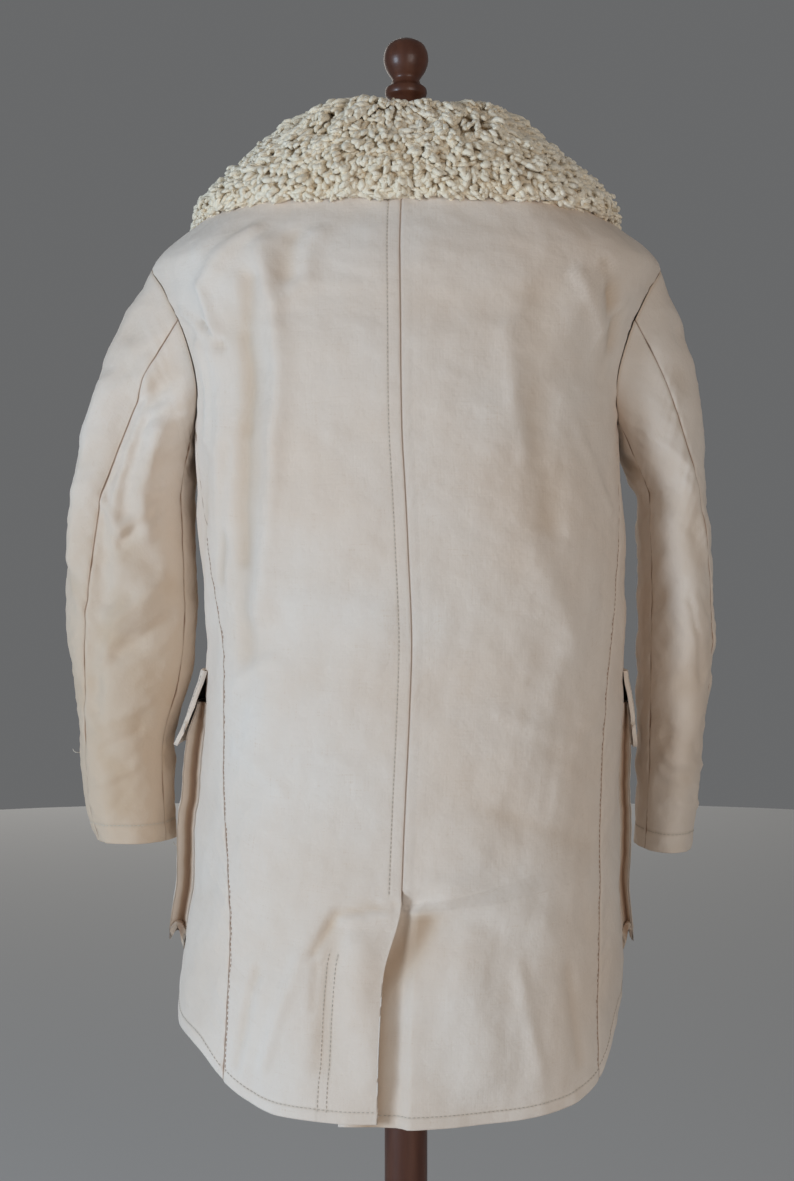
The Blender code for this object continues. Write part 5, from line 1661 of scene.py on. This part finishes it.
@dataclass
class Sleeves:
    """Both two-piece sleeves, with elbow seams and hemmed cuffs."""

    maker: SleeveMaker
    palette: Palette
    seam: Seam = Seam(depth=0.0009, pucker=0.0009, pucker_pitch=0.018)
    cuff_row: StitchRow = StitchRow(0.02)
    relief: Crumple = Crumple(23, 0.06, 0.001)
    fine_relief: Crumple = Crumple(29, 0.022, 0.00035)
    full_shade_depth: float = 0.009
    soil_top: float = 1.25
    soil_fade: float = 0.3

    def build(self) -> None:
        """Makes both sleeves and their thread."""
        thread = Thread()
        for cut in (LEFT_SLEEVE, RIGHT_SLEEVE):
            for patch in self.maker.cut_pieces(cut):
                self.shape(patch, cut)
                thread.stitch(patch, Edge.LAST_ROW, self.cuff_row)
                place_sheet(patch, self.palette.canvas)
        thread.tubes.make("cuff_stitches", self.palette.cream_thread, "canvas")

    def shape(self, patch: ClothPatch, cut: SleeveCut) -> None:
        """Adds unevenness and the elbow seams, and paints shade on the lower sleeve, in its hollows and at
        the armhole seam.
        """
        across, height = patch.across + 0.4 * (cut.side.value + 2), patch.outer[..., 2]
        relief, calm = self.relief.at(across, height), 0.4 + 0.6 * ease(patch.from_sides() / 0.02)
        fine = self.fine_relief.at(across, height)
        patch.push((relief + fine) * calm * ease(patch.distance_to(Edge.FIRST_ROW) / 0.03))
        # Painted shade over the lower sleeve, fading out above.
        patch.shade(Mark.FOLD, cut.soil * ease((self.soil_top - height) / self.soil_fade))
        # Painted shade in the sleeve's hollows.
        patch.shade(Mark.FOLD, np.clip(-relief / self.full_shade_depth, 0.0, 0.4))
        for edge, seed in ((Edge.FIRST_COLUMN, 31), (Edge.LAST_COLUMN, 37)):
            self.seam.sew(patch, edge, seed + cut.side.value)
        # Painted shadow along the armhole seam, where the sleeve meets the body.
        patch.shade(Mark.FOLD, 0.6 * bump(patch.distance_to(Edge.FIRST_ROW), 0.003))


@dataclass
class PileCollar:
    """The collar: a padded ground with wool grown all over it."""

    collar: Collar
    palette: Palette
    wool: Wool = Wool()
    parts: int = 3

    def build(self) -> None:
        """Makes the ground and the wool, in a few pieces."""
        outer, inner = self.collar.grids()
        normals = unit(np.cross(np.gradient(outer, axis=1), np.gradient(outer, axis=0)))
        ground = self.ground(outer, inner)
        tubes, marks, homes = self.wool.grow(outer, self.facing_out(outer, inner, normals))
        order = np.minimum((homes * self.parts).astype(int), self.parts - 1)
        for part, name in enumerate(("right", "back", "left")):
            picked = order == part
            mesh = TubeMesh()
            mesh.add(tubes[picked], marks[picked])
            mesh.make(f"wool_{name}", self.palette.wool, "pile")
            log.info("wool_%s: %d strands", name, int(picked.sum()))

    @staticmethod
    def facing_out(outer: Array, inner: Array, normals: Array) -> Array:
        """Normals turned to point away from the collar's inner side."""
        return normals * np.sign(((outer - inner) * normals).sum(-1, keepdims=True))

    def ground(self, outer: Array, inner: Array) -> Object:
        """The closed pad between the outer and inner surfaces."""
        middle = (outer + inner) / 2
        points = np.concatenate([(middle + (outer - middle) * 0.92).reshape(-1, 3), inner.reshape(-1, 3)])
        rows, columns = outer.shape[:2]
        faces = wall_faces(rows, columns)
        corner = points[faces[:, 0]]
        volume = (corner * np.cross(points[faces[:, 1]], points[faces[:, 2]])).sum()
        obj = new_mesh("collar_ground", points, faces if volume > 0 else faces[:, ::-1], self.palette.pile)
        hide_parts("collar")
        return obj


@dataclass(frozen=True)
class PocketCut:
    """How far one pocket and its flap stand out."""

    side: Side
    depth: float
    mouth_depth: float
    flap_lift: float


@dataclass
class Pockets:
    """Patch pockets on folded gussets, each with a flap that stands over its mouth."""

    torso: Torso
    palette: Palette
    cuts: tuple[PocketCut, ...] = (
        PocketCut(Side.LEFT, 0.0165, 0.0085, 0.026),
        PocketCut(Side.RIGHT, 0.0095, 0.0045, 0.0135),
    )
    back_angle: float = 79.0
    front_angle: float = 124.0
    span_angle: float = 100.0
    bottom: float = 0.7
    top: float = 0.935
    wall: float = 0.0018
    ramp: float = 0.035
    rim_gap: float = 0.0009
    tuck: float = 0.0095
    flare: float = 0.016
    belly: float = 0.06
    # Where painted shadow in the gusset is darkest, and how far it reaches.
    deep_share: float = 0.32
    deep_reach: float = 0.26
    seat_reach: float = 0.02
    gusset_steps: int = 9
    step: float = 0.0042
    flap_root: float = 0.968
    flap_edge: float = 0.889
    flap_wall: float = 0.0042
    flap_gap: float = 0.0006
    flap_overhang: float = 1.0
    flap_corner: float = 0.02
    edge_row: StitchRow = StitchRow(0.006)
    hem_row: StitchRow = StitchRow(0.024)

    def build(self) -> None:
        """Makes both pockets, both flaps and their stitches."""
        thread = Thread()
        for cut in self.cuts:
            front = f"front_{cut.side.label}_cloth"
            panel = bpy.data.objects[front].data
            skin = BVHTree.FromPolygons([v.co for v in panel.vertices], [p.vertices for p in panel.polygons])
            for make in (self.pocket, self.flap):
                patch = make(cut, skin, thread)
                obj = place_sheet(patch, self.palette.canvas)
                rounding = obj.modifiers.new("rounded edge", "BEVEL")
                rounding.width, rounding.segments = patch.thickness * 0.35, 2
                rounding.angle_limit = math.radians(50)
        thread.tubes.make("pocket_stitches", self.palette.cream_thread, "canvas")

    def metre_at(self, height: float) -> float:
        """The degrees that a metre of cloth spans beside the pockets at a height."""
        return float(self.torso.angle_for(1.0, self.span_angle, height))

    def seat(self, skin: BVHTree, angle: Array, height: Array, offset: Array) -> Array:
        """Points on the front panel's cloth, moved out by offset along the body's normal."""
        points = self.torso.surface(angle, height, self.seat_reach)
        normals = self.torso.normal(angle, height)
        seated = np.empty(points.shape)
        for at in np.ndindex(points.shape[:2]):
            hit = skin.ray_cast(Vector(points[at]), -Vector(normals[at]))[0]
            seated[at] = points[at] - normals[at] * self.seat_reach if hit is None else hit
        return seated + normals * offset[..., None]

    def patch(self, name: str, outer: Array, thickness: float, angle: Array, height: Array) -> ClothPatch:
        """A patch whose normals point away from the body."""
        normals = unit(np.cross(np.gradient(outer, axis=0), np.gradient(outer, axis=1)))
        away = (normals * self.torso.normal(angle, height)).sum()
        return ClothPatch(name, outer, normals * np.sign(away), thickness)

    def pocket(self, cut: PocketCut, skin: BVHTree, thread: Thread) -> ClothPatch:
        """The pocket's face with a gusset folded in round three sides. The panel is its back."""
        climb = np.linspace(0.0, 1.0, self.gusset_steps)
        metre = self.metre_at(0.8)
        ends = (self.back_angle, self.front_angle)
        face = np.linspace(*ends, int((ends[1] - ends[0]) / metre / self.step))
        heights = np.arange(self.bottom, self.top, self.step)
        rise = np.concatenate([climb[:-1], np.ones(len(face)), climb[-2::-1]])
        edges = [np.full(len(climb) - 1, end) for end in ends]
        angle = np.concatenate([edges[0], face, edges[1]])[None, :]
        height = np.concatenate([np.full(len(climb) - 1, self.bottom), heights, [self.top]])[:, None]
        lift = np.concatenate([climb[:-1], np.ones(len(heights) + 1)])
        share = np.minimum(lift[:, None], rise[None, :])
        sideways = np.where(np.arange(len(rise)) < len(rise) / 2, 1.0, -1.0)
        inward = self.tuck * metre * np.sin(np.pi * rise**0.7) * sideways
        angle = angle + inward * np.minimum(lift[:, None] * 1.5, 1.0)
        height = height + self.tuck * np.sin(np.pi * lift)[:, None] * np.minimum(rise * 1.5, 1.0)
        corner = bump(height - self.bottom, 0.01) * (rise < 1.0) * (2.0 * rise - 1.0) ** 2
        height = height - self.flare * corner
        slim = ease((height - self.top + self.ramp) / self.ramp)
        depth = cut.depth + (cut.mouth_depth - cut.depth) * slim
        angle = cut.side.value * angle
        up = np.clip((height - self.bottom) / (self.top - self.bottom), 0.0, 1.0)
        belly = 1.0 + self.belly * np.sin(np.pi * up)
        outer = self.seat(skin, angle, height, self.rim_gap + share * depth * belly)
        patch = self.patch(f"pocket_{cut.side.label}_cloth", outer, self.wall, angle, height)
        # Painted shadow deep in the folded gusset, in the fold and seam tints.
        deep = bump(share - self.deep_share, self.deep_reach)
        patch.shade(Mark.FOLD, 1.6 * deep)
        patch.shade(Mark.SEAM, 1.1 * deep)
        thread.stitch(patch, Edge.LAST_ROW, self.hem_row, (0.2, 0.2))
        return patch

    def flap(self, cut: PocketCut, skin: BVHTree, thread: Thread) -> ClothPatch:
        """The flap, thick and round at its lower corners."""
        low, high = self.back_angle - self.flap_overhang, self.front_angle + self.flap_overhang
        metre = self.metre_at(0.93)
        share = close_to_edges((high - low) / metre, self.step)
        angles, corner = low + (high - low) * share, self.flap_corner * metre
        near = np.minimum(angles - low, high - angles) / corner
        lowest = self.flap_edge + self.flap_corner * (1.0 - np.sqrt(1.0 - np.clip(1.0 - near, 0.0, 1.0) ** 2))
        fall = close_to_edges(self.flap_root - self.flap_edge, self.step, EDGE_STEPS[:6])[:, None]
        height = self.flap_root * (1 - fall) + lowest * fall
        fallen = (self.flap_root - height) / (self.flap_root - self.flap_edge)
        lift = self.flap_gap + cut.flap_lift * (0.9 * fallen + 0.1 * fallen**2)
        angle = np.broadcast_to(cut.side.value * angles, height.shape)
        outer = self.seat(skin, angle, height, lift + self.flap_wall)
        patch = self.patch(f"flap_{cut.side.label}_cloth", outer, self.flap_wall, angle, height)
        for edge in (Edge.FIRST_COLUMN, Edge.LAST_COLUMN, Edge.LAST_ROW):
            thread.stitch(patch, edge, self.edge_row, (0.08, 0.08))
        return patch


def turned(name: str, profile: Sequence[Pair], sides: int, material: Material) -> Object:
    """A smooth turned piece from (radius, height) points that start and end on its axis."""
    turn = np.arange(sides) * 2 * math.pi / sides
    radius, height = np.array(profile[1:-1]).T[..., None]
    rings = np.stack(np.broadcast_arrays(radius * np.cos(turn), radius * np.sin(turn), height), -1)
    foot, tip = ([[0.0, 0.0, profile[end][1]]] for end in (0, -1))
    points = np.concatenate([foot, rings.reshape(-1, 3), tip])
    top, last = len(points) - 1, len(points) - 1 - sides
    pairs = [(corner, (corner + 1) % sides) for corner in range(sides)]
    faces = [[0, 1 + onward, 1 + corner] for corner, onward in pairs]
    faces += (1 + ring_faces(len(radius), sides)).tolist()
    faces += [[top, last + corner, last + onward] for corner, onward in pairs]
    return new_mesh(name, points, faces, material)


def smooth_profile(points: Sequence[Pair], steps: int) -> list[Pair]:
    """A turned profile with rounded beads, through a few points that start and end on the axis."""
    line = np.array(points[1:-1])
    walked = walk(line)
    fine = np.unique(np.concatenate([walked, np.linspace(0.0, walked[-1], steps)]))
    radius, height = (read_smoothly(walked, values, fine).tolist() for values in line.T)
    return [points[0], *zip(radius, height), points[-1]]


def node_points(name: str) -> Array:
    """The points of an object's mesh."""
    return np.array([vertex.co for vertex in bpy.data.objects[name].data.vertices])


@dataclass(frozen=True)
class Stand:
    """The turned finial, neck cap, stem and base of varnished wood."""

    palette: Palette
    sides: int = 64

    def build(self) -> None:
        """Turns the four wooden pieces."""
        for node in ("neck_cap", "finial", "stem", "base"):
            profile = self.section(node)
            if node == "finial":
                profile = smooth_profile(profile, 50)
            obj = turned(f"turned_{node}", profile, self.sides, self.palette.wood)
            obj.data.set_sharp_from_angle(angle=math.radians(42))
            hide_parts(node)

    @staticmethod
    def section(node: str) -> list[Pair]:
        """The (radius, height) points of a turned CAD node, from its foot's middle to its top's."""
        points = node_points(node)
        heights = points[:, 2]
        low, high = float(heights.min()), float(heights.max())
        spots = np.round([np.hypot(points[:, 0], points[:, 1]), heights], 5)
        rim = [(radius, height) for radius, height in np.unique(spots, axis=1).T.tolist() if radius > 0.001]
        rim.sort(key=lambda at: (at[1], at[0] if at[1] < (low + high) / 2 else -at[0]))
        return [(0.0, low), *rim, (0.0, high)]


@dataclass(frozen=True)
class Buttons:
    """Round four-hole buttons with a rolled rim, each sewn on with thread."""

    palette: Palette
    names: tuple[str, ...] = (
        "front_button_1", "front_button_2", "front_button_3", "front_button_4",
        "flap_button_left", "flap_button_right", "cuff_button_right",
    )
    sides: int = 48
    thickness: float = 0.0035
    hole_radius: float = 0.0011
    hole_spread: float = 0.003
    hole_corners: int = 12
    hole_ends: Pair = (-0.002, 0.006)
    dish: tuple[Pair, ...] = ((0.78, 0.88), (0.7, 0.72), (0.62, 0.64), (0.5, 0.62), (0.0, 0.62))
    thread_radius: float = 0.00032
    thread_gap: float = 0.00035

    def build(self) -> None:
        """Makes each button where its CAD node lies."""
        thread = TubeMesh()
        for name in self.names:
            centre, axis, radius = self.measure(name)
            obj = turned(f"{name}_shaped", self.profile(radius), self.sides, self.palette.button)
            place = Matrix.LocRotScale(Vector(centre), Vector(axis).to_track_quat("Z", "Y"), None)
            self.drill(obj)
            obj.data.transform(place)
            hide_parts(name)
            self.sew_on(thread, place)
        thread.make("button_thread", self.palette.cream_thread, "button")

    @staticmethod
    def measure(name: str) -> tuple[Array, Array, float]:
        """Centre of the underside, outward axis and radius of a CAD button."""
        points = np.unique(np.round(node_points(name), 6), axis=0)
        middle = points.mean(0)
        axis = np.linalg.svd(points - middle)[2][2]
        reach = (points - middle) @ axis
        flat = np.linalg.norm(points - middle - reach[:, None] * axis, axis=1)
        rim = reach[flat > flat.max() * 0.99].mean()
        if rim - reach.min() > reach.max() - rim:
            axis, reach = -axis, -reach
        return middle + axis * reach.min(), axis, float(flat.max())

    def profile(self, radius: float) -> list[Pair]:
        """Half the button's section."""
        half, turns = self.thickness / 2, np.linspace(-math.pi / 2, math.pi * 0.62, 12)
        rim = [(radius + half * (math.cos(turn) - 1.0), half * (1.0 + math.sin(turn))) for turn in turns]
        dish = [(radius * out, self.thickness * up) for out, up in self.dish]
        return [(0.0, 0.0), *rim, *dish]

    def hole_places(self) -> list[Pair]:
        """The middles of the four holes."""
        half = self.hole_spread / 2
        return [(half, half), (-half, half), (-half, -half), (half, -half)]

    def drill(self, obj: Object) -> None:
        """Cuts the four holes and keeps the result as the mesh."""
        turn, holes = np.arange(self.hole_corners) * 2 * math.pi / self.hole_corners, TubeMesh()
        ring = self.hole_radius * np.stack([np.cos(turn), np.sin(turn), np.zeros(self.hole_corners)], -1)
        ends = np.array([[(x, y, z) for z in self.hole_ends] for x, y in self.hole_places()])
        holes.add(ends[:, :, None] + ring)
        cutter = plain_object("holes", *holes.shape())
        boolean = obj.modifiers.new("holes", "BOOLEAN")
        boolean.operation, boolean.object = "DIFFERENCE", cutter
        graph = bpy.context.evaluated_depsgraph_get()
        obj.data = bpy.data.meshes.new_from_object(obj.evaluated_get(graph))
        obj.modifiers.clear()
        obj.data.shade_smooth()
        obj.data.set_sharp_from_angle(angle=math.radians(40))
        bpy.data.objects.remove(cutter)

    def sew_on(self, thread: TubeMesh, place: Matrix) -> None:
        """Crosses thread over the holes and down through them."""
        holes, top, lift = np.array(self.hole_places()), self.thickness * self.dish[-1][1], 0.0003
        turned_by, moved = np.array(place)[:3, :3], np.array(place)[:3, 3]
        inward = np.array([1.0, 1.0, 0.8])
        for first, second in ((0, 2), (1, 3)):
            along = unit(holes[second] - holes[first])
            aside = np.array([-along[1], along[0]])
            rise = [-2 * lift, top - lift, top + lift * (1 + first)]
            flat = holes[[first] * 3 + [second] * 3] * np.concatenate([inward, inward[::-1]])[:, None]
            up = turned_by @ np.array([*aside, 0.0])
            for shift in (-self.thread_gap, self.thread_gap):
                path = np.column_stack([flat + shift * aside, rise + rise[::-1]]) @ turned_by.T + moved
                thread.add(tube(path[None], up, np.full((1, 6), self.thread_radius), 6))


@dataclass(frozen=True)
class LooseEnds:
    """Short thread ends that have worked out of the left pocket and the left sleeve."""

    palette: Palette
    places: tuple[tuple[str, float], ...] = (("pocket_left_cloth", 0.781), ("top_sleeve_left_cloth", 0.879))
    radii: tuple[float, ...] = (0.0005, 0.00055, 0.0005, 0.00045, 0.0003)
    curl: tuple[Triple, ...] = (
        (-0.001, 0.0, 0.0), (0.002, 0.001, 0.0), (0.0045, 0.002, 0.0004),
        (0.0066, 0.0018, 0.0018), (0.0076, 0.001, 0.0042),
    )

    def build(self) -> None:
        """Lets each end stand out from the outermost point of its cloth at its height."""
        threads = TubeMesh()
        for name, height in self.places:
            points = node_points(name)
            level = points[np.abs(points[:, 2] - height) < 0.003]
            path = level[level[:, 0].argmax()] + np.array(self.curl)
            threads.add(tube(path[None], np.array([0.0, 1.0, 0.0]), np.array([self.radii]), 6))
        threads.make("loose_ends", self.palette.cream_thread, "canvas")


@dataclass(frozen=True)
class DressForm:
    """The limbless form's linen cover over the part's own solid."""

    palette: Palette

    def build(self) -> None:
        """Rounds the form's facets and covers it in linen."""
        form = bpy.data.objects["form_torso"]
        weld = form.modifiers.new("weld", "WELD")
        weld.merge_threshold = 0.00002
        rounder = form.modifiers.new("rounder", "SUBSURF")
        rounder.levels = rounder.render_levels = 1
        for slot in form.material_slots:
            slot.material = self.palette.linen


@dataclass(frozen=True)
class Lamp:
    """A soft area light aimed at a point."""

    name: str
    place: Triple
    target: Triple
    size: float
    power: float
    colour: Colour


@dataclass(frozen=True)
class Studio:
    """A pale floor, soft light and the photograph's camera."""

    camera_place: Triple = (0.0095, 1.6, 1.05)
    lens: float = 46.33
    sensor: float = 36.0
    world: Colour = (0.56, 0.57, 0.58)
    world_strength: float = 0.25
    floor_radius: float = 6.0
    floor_colour: tuple[float, ...] = (0.62, 0.62, 0.62, 1.0)
    lamps: tuple[Lamp, ...] = (
        Lamp("key", (2.9, 2.0, 1.0), (0.0, 0.1, 1.0), 1.1, 74.0, (0.66, 0.82, 1.00)),
        Lamp("fill", (-1.5, 3.2, 1.1), (0.0, 0.0, 0.9), 1.8, 31.0, (1.00, 0.97, 0.94)),
        Lamp("front", (2.0, -9.0, 3.5), (0.0, 0.0, 1.0), 8.0, 220.0, (1.00, 0.96, 0.9)),
    )

    def build(self) -> None:
        """Makes the floor, world, lights and camera."""
        scene = bpy.context.scene
        scene.view_settings.view_transform = "Standard"
        turn = np.arange(64) * 2 * math.pi / 64
        ring = self.floor_radius * np.stack([np.cos(turn), np.sin(turn), np.zeros(64)], -1)
        floor = plain_object("floor", ring, [list(range(64))])
        finish = Recipe("studio_floor", Roughness=0.95, Base_Color=self.floor_colour)
        floor.data.materials.append(finish.material)
        world = bpy.data.worlds.new("studio")
        world.use_nodes = True
        background = world.node_tree.nodes["Background"]
        background.inputs["Color"].default_value = (*self.world, 1.0)
        background.inputs["Strength"].default_value = self.world_strength
        scene.world = world
        for lamp in self.lamps:
            self.hang(lamp)
        camera = bpy.data.cameras.new("camera")
        camera.lens, camera.sensor_width = self.lens, self.sensor
        view = bpy.data.objects.new("camera", camera)
        view.matrix_world = self.aimed(self.camera_place, (self.camera_place[0], 0.0, self.camera_place[2]))
        scene.collection.objects.link(view)
        scene.camera = view

    def hang(self, lamp: Lamp) -> None:
        """Adds one area light."""
        light = bpy.data.lights.new(lamp.name, "AREA")
        light.shape, light.size, light.energy, light.color = "DISK", lamp.size, lamp.power, lamp.colour
        obj = bpy.data.objects.new(lamp.name, light)
        obj.matrix_world = self.aimed(lamp.place, lamp.target)
        bpy.context.scene.collection.objects.link(obj)

    @staticmethod
    def aimed(place: Triple, target: Triple) -> Matrix:
        """A place that looks at a target, with the top up."""
        way = (Vector(target) - Vector(place)).to_track_quat("-Z", "Y")
        return Matrix.LocRotScale(Vector(place), way, None)


def main() -> None:
    """Loads the frame, dresses it in order and sets up the studio."""
    logging.basicConfig(level=logging.INFO, format="%(message)s")
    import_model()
    palette = make_palette()
    panels = BodyPanels(Torso())
    CanvasBody(panels, palette).build()
    Sleeves(SleeveMaker(panels), palette).build()
    PileCollar(Collar(panels), palette).build()
    Pockets(panels.torso, palette).build()
    LooseEnds(palette).build()
    Buttons(palette).build()
    DressForm(palette).build()
    Stand(palette).build()
    Studio().build()


if __name__ == "__main__":
    main()
